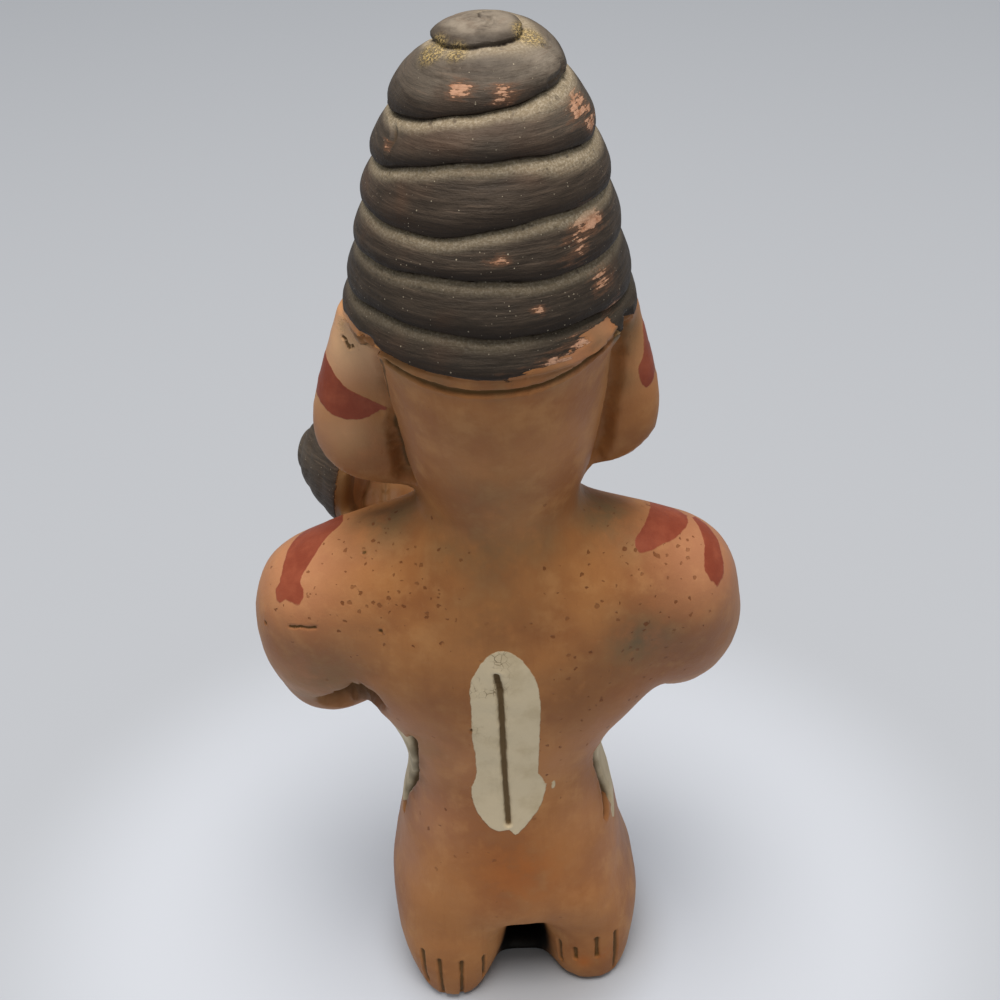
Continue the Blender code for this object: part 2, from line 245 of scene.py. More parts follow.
def makeFloor():
    shape = bmesh.new()
    bmesh.ops.create_circle(shape, cap_ends=True, segments=96, radius=stage["floorRadius"])
    mesh = bpy.data.meshes.new("floor")
    shape.to_mesh(mesh)
    shape.free()
    floor = newObject("floor", mesh)
    # matt studio paper: pale under the figure, painted greyer further off where less light falls, and given a
    # painted glow of its own that is held back under the figure as a painted shadow
    paper = bpy.data.materials.new("mattPaper")
    paper.use_nodes = True
    tree = paper.node_tree
    shader = tree.nodes["Principled BSDF"]
    place = addNode(tree, "ShaderNodeTexCoord").outputs["Object"]
    away = addNode(tree, "ShaderNodeVectorMath", (place,), operation="LENGTH").outputs["Value"]
    drift = addNode(tree, "ShaderNodeTexNoise", {"Vector": place, "Scale": 3.0, "Detail": 1.0})
    drifted = addNode(tree, "ShaderNodeMath", (drift, 0.05, away), operation="MULTIPLY_ADD")
    middle = {0: place, 1: stage["underFigure"]}
    under = addNode(tree, "ShaderNodeVectorMath", middle, operation="DISTANCE").outputs["Value"]
    mapping = {"interpolation_type": "SMOOTHSTEP"}
    grey = addNode(tree, "ShaderNodeMapRange", (drifted, stage["clearTo"], stage["greyFrom"]), **mapping)
    glowOutsidePaintedShadow = addNode(tree, "ShaderNodeMapRange", (under, *stage["glowFrom"]), **mapping)
    tones = {0: grey, 6: linear(stage["floorNear"]), 7: linear(stage["floorFar"])}
    mixed = addNode(tree, "ShaderNodeMix", tones, data_type="RGBA")
    paintedGlow = addNode(tree, "ShaderNodeMix", {0: glowOutsidePaintedShadow, 6: (0, 0, 0, 1), 7: mixed}, data_type="RGBA")
    tree.links.new(mixed.outputs[2], shader.inputs["Base Color"])
    tree.links.new(paintedGlow.outputs[2], shader.inputs["Emission Color"])
    shader.inputs["Emission Strength"].default_value = stage["paintedFloorGlow"]
    shader.inputs["Roughness"].default_value = 0.9
    mesh.materials.append(paper)
    return floor


def makeStage():
    makeCamera()
    makeFloor()
    makeLight("topLight", stage["topLightAt"], stage["topLightSize"], stage["topLight"])
    makeLight("fillLight", stage["fillLightAt"], stage["fillLightSize"], stage["fillLight"])
    world = bpy.data.worlds.new("softRoom")
    world.use_nodes = True
    sky = world.node_tree.nodes["Background"]
    sky.inputs["Color"].default_value = linear(stage["skyColour"])
    sky.inputs["Strength"].default_value = stage["skyStrength"]
    bpy.context.scene.world = world
    bpy.context.scene.view_settings.view_transform = "Standard"


makeStage()
print("stage ready")


# The plain clay skin, with a finer grid where there is detail to hold

skin = {
    "grid": 1.75,  # mm
    "softening": 5,  # rounds after the grid is laid
    "fineSoftening": 3,
    "lineReach": 1.7,  # mm each side of a tool line that gets the finest grid
    "lipReach": (-1.1, 0.9),  # mm round the lower edge of a coil
    "hatFrom": 197.5,  # height above which all of the hat is fine
    "lipsFrom": 198.6,
    "nearLine": 4,  # mm each side of a tool line that gets a fine grid
}

hat = {
    "rim": 198,
    "top": 259.3,
    "radius": 31.2,
    "depthRatio": 1.06,
    "middle": 1.2,
    "lean": -0.012,
    "taper": 1.05,
    "roundness": 2.9,
    "swell": 0.55,
    "undercut": 1.7,
    "wobble": 0.3,
    # the lower edge of each turn of the coil: its height at angles from the left ear (80) round the
    # nape (0) to the right ear (-70). Across the front each turn climbs to the start of the next.
    "angles": (80, 55, 30, 5, -20, -45, -70),
    "turns": [
        (199.8, 201.2, 200.0, 198.6, 198.7, 199.4, 200.3),
        (207.0, 207.9, 208.2, 207.3, 207.0, 206.8, 205.3),
        (216.8, 217.2, 218.4, 218.2, 217.6, 217.4, 216.8),
        (224.9, 225.5, 225.7, 226.7, 229.0, 228.9, 227.7),
        (233.8, 235.1, 239.0, 240.2, 239.8, 239.1, 238.0),
        (244.1, 244.6, 246.8, 248.0, 249.3, 249.8, 250.3),
        (256.8, 256.9, 257.2, 257.5, 257.7, 257.9, 258.3),
    ],
    "crowding": 1.7,  # mm each side of an edge where the grid is drawn together
    "edge": 0.12,
    "overhang": 0.42,
    "bandProfile": [
        (0, 0.45), (0.03, 0.68), (0.08, 0.87), (0.15, 0.97), (0.24, 1), (0.4, 0.92), (0.6, 0.74), (0.8, 0.48),
        (0.9, 0.3), (0.96, 0.14), (1, 0),
    ],
}


def domeRadius(height):
    rise = np.clip((height - hat["rim"]) / (hat["top"] - hat["rim"]), 0, 1)
    return hat["radius"] * np.maximum(1 - rise ** hat["taper"], 0) ** (1 / hat["roundness"])


domeHeights = hat["rim"] + (hat["top"] - hat["rim"]) * np.sin(np.linspace(0, math.pi / 2, 900))
domeArcs = np.concatenate([[0], np.cumsum(np.hypot(np.diff(domeHeights), np.diff(domeRadius(domeHeights))))])


def arcAt(height):
    return np.interp(height, domeHeights, domeArcs)


def domeValue(points):
    middle = hat["middle"] + hat["lean"] * (points[:, 2] - hat["rim"])
    reach = np.hypot(points[:, 0] - middle, points[:, 1] / hat["depthRatio"]) / hat["radius"]
    rise = np.clip((points[:, 2] - hat["rim"]) / (hat["top"] - hat["rim"]), 0, None)
    return reach ** hat["roundness"] + rise ** hat["taper"] - 1


def domeSlope(points, step=0.01):
    slope = np.empty_like(points)
    for axis in range(3):
        shift = np.zeros(3)
        shift[axis] = step
        slope[:, axis] = (domeValue(points + shift) - domeValue(points - shift)) / (2 * step)
    return slope


def ontoDome(points):
    for _ in range(8):
        slope = domeSlope(points)
        points = points - slope * (domeValue(points) / (slope**2).sum(1))[:, None]
    return points


def domeNormals(points):
    slope = domeSlope(points)
    return slope / np.linalg.norm(slope, axis=1)[:, None]


def domePoint(angle, arc):
    height = np.interp(arc, domeArcs, domeHeights)
    reach = domeRadius(height)
    across = hat["middle"] + hat["lean"] * (height - hat["rim"]) + reach * np.sin(angle)
    return np.stack([across, reach * np.cos(angle) * hat["depthRatio"], height], 1)


def domeAngle(points):
    middle = hat["middle"] + hat["lean"] * (points[:, 2] - hat["rim"])
    return np.arctan2(points[:, 0] - middle, points[:, 1] / hat["depthRatio"])


def coilLines(angle):
    # arc heights of all the lower edges at each angle, from the rim up. The coil starts at the rim
    # by the right ear: from there on the rim runs level and the first turn climbs away from it.
    travelled = (hat["angles"][0] - np.degrees(angle)) % 360
    stops = [hat["angles"][0] - a for a in hat["angles"]]
    turns = hat["turns"]
    rim = np.interp(travelled, [*stops, 360], [*turns[0], turns[0][0]])
    path = [360 * number + stop for number in range(len(turns)) for stop in stops] + [360 * len(turns)]
    arcs = arcAt([height for turn in turns for height in turn] + [hat["top"]])
    lines = [arcAt(rim) - 0.01]
    for number in range(len(turns)):
        along = travelled + 360 * number
        smooth = np.mean([np.interp(along + step, path, arcs) for step in (-18, -9, 0, 9, 18)], 0)
        run = np.radians(along)
        waves = np.sin(4.7 * run) + 0.6 * np.sin(11.3 * run)
        lines.append(smooth + hat["wobble"] * waves * (0.3 + 0.3 * ease(along, 60, 300)))
    lines[0] = np.minimum(lines[0], lines[1] - 0.01)
    return np.stack(lines)


fistProfile = [(-21.6, 122.5), (-22.6, 128), (-26, 131), (-31, 131.6), (-36, 129.4), (-38, 123)]  # over a finger
eyeLines = [
    [(4.9, -30.6, 181), (6.4, -31.6, 183), (10, -32, 184.6), (13.6, -30.6, 183.4), (15.6, -27.6, 181.4)],
    [(4.9, -30.6, 181), (7, -31, 179.5), (10, -31, 178.9), (13, -29.6, 179.5), (15.6, -27.6, 181.4)],
    [(5, -31.6, 186.4), (8, -32, 188.6), (12, -31, 188.8), (16, -28, 186.4)],  # brow
]

# tool lines: drawn with a wooden point in the damp clay, given by the places they pass. Each darkens its groove:
# dirt in the cuts, painted shade in the creases.
toolLines = {
    "earShadow": {  # painted shadow along the bottom of the crease behind the left ear
        "width": 1.9, "depth": 0, "burr": 0, "shadeAndDirt": 0.95,
        "lines": [
            [(23.2, 22, 197.6), (23.4, 15.8, 191.3), (23, 15, 188), (22.9, 11.9, 182.2), (22.8, 6.4, 173.7),
             (22.3, 5.7, 168), (21.7, 5.4, 163.8), (20.7, 4.5, 158.6)],
        ],
    },
    # the creases between the ears and the head, a little darkened as painted shade
    "earCreases": {
        "width": 6.0, "depth": 3.2, "burr": 0, "shadeAndDirt": 0.26,
        "lines": [
            [(25.2, 19, 199.5), (24.2, 14, 196), (23.8, 10, 190), (23.2, 9, 184), (22.6, 8.6, 178),
             (22, 7.6, 172), (21.4, 6, 165), (20.8, 4.5, 158)],
            [(-27, 13, 200), (-26.4, 8, 195), (-25.7, 6.5, 189), (-25, 6.4, 183), (-24.2, 6.4, 177),
             (-23.4, 6, 171), (-22.6, 5.4, 165), (-21.6, 4.6, 160.5)],
        ],
    },
    # the gap under the left arm, deepened and darkened all the way as painted shade
    "armpit": {
        "width": 12.0, "depth": 7.0, "burr": 0, "shadeAndDirt": 1,
        "lines": [[(41, 7.5, 91.5), (38.4, 9, 94.5), (35.6, 10.5, 97), (33, 13, 99.5)]],
    },
    "toes": {
        "width": 1.5, "depth": 0.9, "burr": 0.08, "shadeAndDirt": 0.85,
        "lines": [
            [(24.6, 25, 16.4), (24.4, 26, 10), (24.2, 26.4, 4)],
            [(19.8, 27.5, 14.9), (19.6, 28.4, 8), (19.5, 28.4, 0)],
            [(13.6, 27.2, 14.2), (13.8, 27.6, 7), (14, 27.3, 0)],
            [(7.9, 24.4, 13.4), (8.0, 24.5, 9), (8.2, 24, 5.5)],
            [(-13.2, 19.9, 13.4), (-13.6, 20.6, 6.4)],
            [(-17.2, 22.6, 12.6), (-17.4, 23, 9.4)],
            [(-23.2, 22.8, 16.6), (-23.3, 23.5, 10.5)],
            [(-28.6, 20.9, 17), (-28.7, 21.2, 9), (-28.5, 21.1, 1.5)],
        ],
    },
    "backGroove": {
        "width": 2.2, "depth": 1.3, "burr": 0.12, "shadeAndDirt": 0.9,
        "lines": [
            [(1.9, 25, 114), (1.1, 25, 109), (0.9, 24.8, 100), (0.8, 24.2, 88), (0.4, 23.6, 75), (0, 23.8, 63.6)],
        ],
    },
    "hipSlits": {
        "width": 2.9, "depth": 2.1, "burr": 0.2, "shadeAndDirt": 1,
        "lines": [
            [(23.3, 18, 88.5), (23.1, 16, 83), (23.1, 13.6, 75), (23.6, 11.6, 69.6), (25.1, 8.4, 64),
             (26.8, 6.6, 58), (28, 6.2, 52.5)],
            [(-22.7, 12.6, 78.5), (-23.3, 10.6, 72), (-24.2, 9, 66), (-25, 9.2, 61), (-25.2, 10.8, 57.5),
             (-25.6, 12.4, 54)],
            [(-24.8, 8.9, 63), (-26.2, 7.6, 58.6), (-27.2, 7, 55.4)],
        ],
    },
    "hatRing": {
        "width": 1.8, "depth": 0.9, "burr": 0.15, "shadeAndDirt": 0.95,
        "lines": [[
            (22.5, 23.5, 197.8), (17, 28, 196.2), (10, 31.4, 195.2), (0, 33.4, 195.3), (-8, 32, 195.7),
            (-15, 27.5, 197.2), (-20.5, 23, 198.8), (-24.5, 18, 200.4),
        ]],
    },
    "fingers": {
        "width": 1.6, "depth": 0.9, "burr": 0.05, "shadeAndDirt": 0.45,
        "lines": [
            *[[(x, y, z) for y, z in fistProfile] for x in (29.1, 35.2)],
            *[[(-4, -40, z), (1.5, -39.5, z + 1.1), (6.5, -38, z + 2.1)] for z in (107.4, 103.1, 98.8)],
        ],
    },
    "crack": {
        "width": 0.9, "depth": 0.5, "burr": 0, "shadeAndDirt": 1,
        "lines": [
            [(50.4, 15.2, 122.9), (49, 15.7, 123.1), (47.5, 16.1, 123.6), (45.6, 16.6, 123.5), (43.9, 16.9, 123.9)],
        ],
    },
    "pits": {
        "width": 1.1, "depth": 0.5, "burr": 0.1, "shadeAndDirt": 1,
        "lines": [
            [(33, 5.8, 194.2), (32.2, 5.9, 193.8)], [(32, 5.9, 193), (31.4, 6, 191.8)], [(30.6, 6, 192.4),
             (30.5, 6, 192.2)],
            [(27.2, 10, 195.4), (26.2, 10.6, 195.2)], [(8.2, 22.6, 96.8), (8.2, 22.6, 96.6)],
            [(57, 10.2, 120.2), (57, 10.2, 119.9)], [(28.6, 19.5, 124.5), (28.4, 19.5, 124.5)],
            [(31.9, 10, 140.4), (31.6, 10, 140.4)], [(-9.6, 25.6, 149), (-9.4, 25.6, 148.8)],
        ],
    },
    "swirl": {
        "width": 1.7, "depth": 0.5, "burr": 0.2, "shadeAndDirt": 0.4,
        "lines": [
            [(4.8, -0.2, 259.5), (2.9, -0.8, 259.8), (0.4, -0.4, 259.8), (-0.9, 2.1, 259.8),
             (-0.2, 4.4, 259.7), (1.6, 5, 259.6)],
            [(-10.5, 5.9, 255.5), (-12.8, 5.8, 254.2), (-14.4, 5.4, 252.4), (-14.7, 6.4, 251.2),
             (-13.4, 9.1, 250.6), (-11.4, 12, 250.6)],
            [(20.6, 3, 243.4), (19.2, 8.2, 242.6), (18, 11.6, 240.6), (18.6, 11.4, 237.4)],
        ],
    },
    "face": {
        "width": 1.3, "depth": 0.5, "burr": 0.15, "shadeAndDirt": 0.7,
        "lines": [
            *[[(side * x, y, z) for x, y, z in line] for line in eyeLines for side in (-1, 1)],
        ],
    },
    "noseAndLips": {
        "width": 1.3, "depth": 0.6, "burr": 0.4, "shadeAndDirt": 0.6,
        "lines": [
            [(-7.2, -30, 165.9), (-3.4, -32.6, 165.7), (0, -33.4, 165.2), (3.4, -32.6, 165.7),
             (7.2, -30, 165.9)],
            *[[(s * 3.4, -32.8, 175.4), (s * 4.2, -32.4, 173.4), (s * 3.4, -32.8, 171.6)] for s in (-1, 1)],
            *[[(s * 1.5, -35, 171.2), (s * 1.9, -34.8, 171.2)] for s in (-1, 1)],
        ],
    },
    "frontFlap": {
        "width": 1.8, "depth": 0.9, "burr": 0.15, "shadeAndDirt": 0.9,
        "lines": [
            [(0, -26, 76), (0, -27, 64), (0, -28, 50)],
            [(-22, -16, 82), (-12, -22, 78.6), (0, -24, 77.6), (12, -22, 78.6), (22, -16, 82)],
        ],
    },
}

# areas that carry detail, as boxes of low and high corners
fineBoxes = [
    ((-19, -45, 158), (19, -20, 190)),  # face
    ((17, -56, 114), (62, -12, 158)),  # fist and shield
    ((-14, -48, 94), (12, -34, 113)),  # right hand
]


def clayCopy():
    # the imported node's triangles are loose, so a copy of them is merged first
    shape = bmesh.new()
    shape.from_mesh(cadNode.data)
    bmesh.ops.remove_doubles(shape, verts=shape.verts, dist=mergeDistance)
    mesh = bpy.data.meshes.new("figureClay")
    shape.to_mesh(mesh)
    shape.free()
    return mesh


def refine(mesh, chosen):
    # splits the faces that touch the chosen points
    shape = bmesh.new()
    shape.from_mesh(mesh)
    edges = [e for e in shape.edges if chosen[e.verts[0].index] and chosen[e.verts[1].index]]
    bmesh.ops.subdivide_edges(shape, edges=edges, cuts=1, use_grid_fill=True)
    shape.to_mesh(mesh)
    shape.free()


def grow(chosen, edges, rounds=1):
    for _ in range(rounds):
        touched = chosen[edges].any(1)
        chosen = chosen.copy()
        chosen[edges[touched].ravel()] = True
    return chosen


def inAnyBox(points):
    found = np.zeros(len(points), dtype=bool)
    for low, high in fineBoxes:
        found |= ((points > low) & (points < high)).all(1)
    return found


def lineDistance(points):
    nearest = np.full(len(points), 1e9)
    for family in toolLines.values():
        for line in family["lines"]:
            nearest = np.minimum(nearest, fromLine(points, line))
    return nearest


def lipOffset(points):
    # arc height above the nearest lower edge of the coil
    offsets = arcAt(points[:, 2]) - coilLines(domeAngle(points))
    return offsets[np.abs(offsets).argmin(0), np.arange(len(points))]


def makeSkin():
    figure = newObject("figureClay", clayCopy())
    grid = figure.modifiers.new("Even grid", "REMESH")
    grid.mode = "VOXEL"
    grid.voxel_size = skin["grid"] * mm
    mesh = evaluatedMesh(figure)
    bpy.data.objects.remove(figure)
    points = relax(pointsOf(mesh), edgesOf(mesh), skin["softening"], 0.5)
    setPoints(mesh, points)
    print("plain skin", len(mesh.vertices), "points")

    onHat = points[:, 2] > skin["hatFrom"]
    chosen = onHat | inAnyBox(points) | (lineDistance(points) < skin["nearLine"])
    refine(mesh, grow(chosen, edgesOf(mesh)))
    points = relax(pointsOf(mesh), edgesOf(mesh), skin["fineSoftening"], 0.5)
    setPoints(mesh, points)
    print("finer skin", len(mesh.vertices), "points")

    low, high = skin["lipReach"]
    offset = lipOffset(points)
    chosen = (points[:, 2] > skin["lipsFrom"]) & (offset > low) & (offset < high)
    chosen |= lineDistance(points) < skin["lineReach"]
    refine(mesh, grow(chosen, edgesOf(mesh)))
    points = relax(pointsOf(mesh), edgesOf(mesh), 1, 0.5)
    setPoints(mesh, points)
    print("finest skin", len(mesh.vertices), "points")
    return mesh


def layCoil(mesh):
    # puts the hat's points on a clean dome, crowds them towards the coil's lower edges and notes
    # for each how far up its band it is
    points = pointsOf(mesh)
    onHat = ease(points[:, 2], 198.2, 200) * ease(domeValue(points), 0.45, 0.25)
    picked = onHat > 0
    place = ontoDome(points[picked])
    angle = domeAngle(place)
    arc = arcAt(place[:, 2])
    lines = coilLines(angle)
    here = np.arange(len(arc))
    offset = arc - lines
    nearest = np.abs(offset).argmin(0)
    gap = offset[nearest, here]
    reach = hat["crowding"]
    crowded = np.sign(gap) * reach * (np.abs(gap) / reach) ** 1.8
    gap = np.where(np.abs(gap) < reach, crowded, gap)
    arc = lines[nearest, here] + gap

    number = (lines < arc - 1e-6).sum(0)  # how many edges are below
    last = len(lines) - 1
    low = lines[np.maximum(number - 1, 0), here]
    high = np.where(number <= last, lines[np.minimum(number, last), here], domeArcs[-1])
    share = np.where(number == 0, 1, np.clip((arc - low) / np.maximum(high - low, 0.01), 0, 1))
    atEdge = np.abs(gap) < hat["edge"]
    turnOver = (hat["edge"] - gap) / (2 * hat["edge"])
    share = np.where(atEdge, 0, share)
    fromEdge = np.where(number <= last, high - arc, 9)
    # each edge's strength: the narrow start of the coil and its flat end are softer
    strength = np.ones((len(lines) + 1, len(arc)))
    strength[1] = ease(lines[1] - lines[0], 0.4, 3)
    strength[last] = 0.65 * ease(domeArcs[-1] - lines[last], 1, 6)
    strength[last + 1] = 0.2
    ruling = np.where(share > 0.4, number, np.maximum(number - 1, 0))
    full = strength[np.where(atEdge, nearest, ruling), here]
    arc -= hat["overhang"] * strength[nearest, here] * np.clip(1 - np.abs(gap - 0.4) / 0.8, 0, 1)
    snapped = domePoint(angle, np.clip(arc, 0, domeArcs[-1]))
    weight = onHat[picked][:, None]
    points[picked] = points[picked] * (1 - weight) + snapped * weight
    setPoints(mesh, points)

    count = len(points)
    underRim = 0.5 * ease(gap, -3, -0.15)
    onBand = np.where(number == 0, underRim, 1)
    onBand = np.where(atEdge & (nearest == 0), 1 - 0.5 * turnOver, onBand)
    underCoil = (number > 0) * strength[np.minimum(number, last), here] * onHat[picked]
    # the ledges are wider at the upper right and wiped clean at the lower right
    turned = -np.degrees(angle)
    broader = 1 + 0.5 * ease(turned, 10, 40) * ease(place[:, 2], 222, 234)
    sheltered = 1 - 0.7 * ease(turned, 5, 26) * ease(place[:, 2], 214, 208)
    filled = {
        "coilShare": share,
        "coilTurn": np.where(atEdge, turnOver, 0),
        "coilFull": full,
        "coilWeight": onHat[picked] * onBand,
        "ledge": underCoil * sheltered * ease(fromEdge, 0.12, 0.45) * (1 - ease(fromEdge / broader, 0.9, 3.8)),
        # painted shade right under each coil's lower edge
        "nookShade": underCoil * (1 - ease(fromEdge, 0.12, 0.6)),
        # painted shade towards the lower edge of each band
        "coilUnderShade": np.where(number > 0, 1 - ease(share, 0.06, 0.36), 0) * onHat[picked],
    }
    for name, values in filled.items():
        whole = np.zeros(count)
        whole[picked] = values
        storeValues(mesh, name, whole)
    normals = np.zeros((count, 3))
    normals[picked] = domeNormals(snapped)
    storeValues(mesh, "coilNormal", normals)


def groupInput(tree, name, kind):
    tree.interface.new_socket(name, in_out="INPUT", socket_type=kind)


def newGroup(name, sockets):
    tree = bpy.data.node_groups.new(name, "GeometryNodeTree")
    tree.is_modifier = True
    groupInput(tree, "Geometry", "NodeSocketGeometry")
    for label, kind in sockets:
        groupInput(tree, label, kind)
    tree.interface.new_socket("Geometry", in_out="OUTPUT", socket_type="NodeSocketGeometry")
    return tree


def finishGroup(tree, geometry, start):
    whole = addNode(tree, "GeometryNodeRealizeInstances", (geometry,))
    painted = addNode(tree, "GeometryNodeSetMaterial", {0: whole, "Material": start["Material"]})
    addNode(tree, "NodeGroupOutput", (painted,))


def useGroup(thing, tree, values):
    # the inputs are set by identifier before the object is first evaluated
    modifier = thing.modifiers.new(tree.name, "NODES")
    modifier.node_group = tree
    for item in tree.interface.items_tree:
        if item.in_out == "INPUT" and item.name in values:
            modifier[item.identifier] = values[item.name]


def coilTree():
    # swells each turn of the coil along the dome and cuts in under its lower edge
    tree = newGroup("woundCoil", [
        ("Swell", "NodeSocketFloat"), ("Undercut", "NodeSocketFloat"),
        ("Uneven", "NodeSocketFloat"), ("Material", "NodeSocketMaterial"),
    ])
    start = addNode(tree, "NodeGroupInput").outputs
    read = {name: addNode(tree, "GeometryNodeInputNamedAttribute", (name,), data_type="FLOAT")
            for name in ("coilShare", "coilTurn", "coilWeight", "coilFull")}
    normal = addNode(tree, "GeometryNodeInputNamedAttribute", ("coilNormal",), data_type="FLOAT_VECTOR")
    profile = addNode(tree, "ShaderNodeFloatCurve", {"Value": read["coilShare"]})
    curve = profile.mapping.curves[0]
    for spot in hat["bandProfile"][1:-1]:
        curve.points.new(*spot)
    curve.points[0].location = hat["bandProfile"][0]
    curve.points[len(hat["bandProfile"]) - 1].location = hat["bandProfile"][-1]
    profile.mapping.update()
    place = addNode(tree, "GeometryNodeInputPosition")
    patches = addNode(tree, "ShaderNodeTexNoise", {"Vector": place, "Scale": perMm(11), "Detail": 1.0})
    centred = addNode(tree, "ShaderNodeMath", (patches, 0.5), operation="SUBTRACT")
    more = addNode(tree, "ShaderNodeMath", (centred, start["Uneven"], 1.0), operation="MULTIPLY_ADD")
    both = addNode(tree, "ShaderNodeMath", (start["Swell"], start["Undercut"]), operation="ADD")
    held = addNode(tree, "ShaderNodeMath", (1.0, read["coilTurn"]), operation="SUBTRACT")
    kept = addNode(tree, "ShaderNodeMath", (profile, held), operation="MULTIPLY")
    gone = addNode(tree, "ShaderNodeMath", (1.0, kept), operation="SUBTRACT")
    dip = addNode(tree, "ShaderNodeMath", (both, gone), operation="MULTIPLY")
    eased = addNode(tree, "ShaderNodeMath", (dip, read["coilFull"]), operation="MULTIPLY")
    height = addNode(tree, "ShaderNodeMath", (start["Swell"], eased), operation="SUBTRACT")
    varied = addNode(tree, "ShaderNodeMath", (height, more), operation="MULTIPLY")
    weighed = addNode(tree, "ShaderNodeMath", (varied, read["coilWeight"]), operation="MULTIPLY")
    push = addNode(tree, "ShaderNodeVectorMath", {0: normal, "Scale": weighed}, operation="SCALE")
    moved = addNode(tree, "GeometryNodeSetPosition", {"Geometry": start["Geometry"], "Offset": push})
    finishGroup(tree, moved, start)
    return tree


def lineTree():
    # presses a groove along the lines of another object, raises a slight burr beside it and notes how dark the
    # groove is painted, for dirt and painted shade
    tree = newGroup("toolLine", [
        ("Lines", "NodeSocketObject"), ("Width", "NodeSocketFloat"), ("Depth", "NodeSocketFloat"),
        ("Burr", "NodeSocketFloat"), ("ShadeAndDirt", "NodeSocketFloat"), ("Material", "NodeSocketMaterial"),
    ])
    start = addNode(tree, "NodeGroupInput").outputs
    lines = addNode(tree, "GeometryNodeObjectInfo", {"Object": start["Lines"]}).outputs["Geometry"]
    wires = addNode(tree, "GeometryNodeCurveToMesh", {"Curve": lines})
    nearest = addNode(tree, "GeometryNodeProximity", (wires,), target_element="EDGES").outputs["Distance"]
    place = addNode(tree, "GeometryNodeInputPosition")
    tremble = addNode(tree, "ShaderNodeTexNoise", {"Vector": place, "Scale": perMm(2.2), "Detail": 1.0})
    swing = {"Value": tremble, "From Min": 0.2, "From Max": 0.8, "To Min": 0.8, "To Max": 1.25}
    uneven = addNode(tree, "ShaderNodeMapRange", swing)
    half = addNode(tree, "ShaderNodeMath", (start["Width"], 0.5), operation="MULTIPLY")
    far = addNode(tree, "ShaderNodeMath", (nearest, half), operation="DIVIDE")
    share = addNode(tree, "ShaderNodeMath", (far, uneven), operation="MULTIPLY")
    fall = {"Value": share, "From Min": 0.25, "From Max": 1.1, "To Min": 1.0, "To Max": 0.0}
    press = addNode(tree, "ShaderNodeMapRange", fall, interpolation_type="SMOOTHSTEP")
    beside = addNode(tree, "ShaderNodeMath", (share, 1.5), operation="SUBTRACT")
    apart = addNode(tree, "ShaderNodeMath", (beside,), operation="ABSOLUTE")
    bead = {"Value": apart, "From Min": 0.0, "From Max": 0.55, "To Min": 1.0, "To Max": 0.0}
    ridge = addNode(tree, "ShaderNodeMapRange", bead, interpolation_type="SMOOTHSTEP")
    up = addNode(tree, "ShaderNodeMath", (ridge, start["Burr"]), operation="MULTIPLY")
    down = addNode(tree, "ShaderNodeMath", (press, start["Depth"]), operation="MULTIPLY")
    lift = addNode(tree, "ShaderNodeMath", (up, down), operation="SUBTRACT")
    normal = addNode(tree, "GeometryNodeInputNormal")
    push = addNode(tree, "ShaderNodeVectorMath", {0: normal, "Scale": lift}, operation="SCALE")
    before = addNode(tree, "GeometryNodeInputNamedAttribute", ("cut",), data_type="FLOAT")
    # how dark the groove is painted: dirt and painted shade
    shadeAndDirt = addNode(tree, "ShaderNodeMath", (press, start["ShadeAndDirt"]), operation="MULTIPLY")
    deepest = addNode(tree, "ShaderNodeMath", (before, shadeAndDirt), operation="MAXIMUM")
    keep = {"Geometry": start["Geometry"], "Name": "cut", "Value": deepest}
    noted = addNode(tree, "GeometryNodeStoreNamedAttribute", keep, data_type="FLOAT", domain="POINT")
    moved = addNode(tree, "GeometryNodeSetPosition", {"Geometry": noted, "Offset": push})
    finishGroup(tree, moved, start)
    return tree


def handTree():
    # the slight unevenness that fingers and a burnishing stone leave
    tree = newGroup("handMarks", [
        ("Dent Size", "NodeSocketFloat"), ("Dent Depth", "NodeSocketFloat"),
        ("Facet Size", "NodeSocketFloat"), ("Facet Depth", "NodeSocketFloat"),
        ("Material", "NodeSocketMaterial"),
    ])
    start = addNode(tree, "NodeGroupInput").outputs
    place = addNode(tree, "GeometryNodeInputPosition")
    height = addNode(tree, "ShaderNodeSeparateXYZ", (place,)).outputs["Z"]
    offFloor = addNode(tree, "ShaderNodeMapRange", {"Value": height, "From Min": 0.0, "From Max": 0.006})
    waves = []
    for size, depth in (("Dent Size", "Dent Depth"), ("Facet Size", "Facet Depth")):
        scale = addNode(tree, "ShaderNodeMath", (1.0, start[size]), operation="DIVIDE")
        look = {"Vector": place, "Scale": scale, "Detail": 1.0, "Roughness": 0.4}
        noise = addNode(tree, "ShaderNodeTexNoise", look)
        centred = addNode(tree, "ShaderNodeMath", (noise, 0.58), operation="SUBTRACT")
        waves.append(addNode(tree, "ShaderNodeMath", (centred, start[depth]), operation="MULTIPLY"))
    total = addNode(tree, "ShaderNodeMath", (waves[0], waves[1]), operation="ADD")
    held = addNode(tree, "ShaderNodeMath", (total, offFloor), operation="MULTIPLY")
    normal = addNode(tree, "GeometryNodeInputNormal")
    push = addNode(tree, "ShaderNodeVectorMath", {0: normal, "Scale": held}, operation="SCALE")
    moved = addNode(tree, "GeometryNodeSetPosition", {"Geometry": start["Geometry"], "Offset": push})
    finishGroup(tree, moved, start)
    return tree


handMarks = {"Dent Size": 16 * mm, "Dent Depth": 1.1 * mm, "Facet Size": 5 * mm, "Facet Depth": 0.28 * mm}


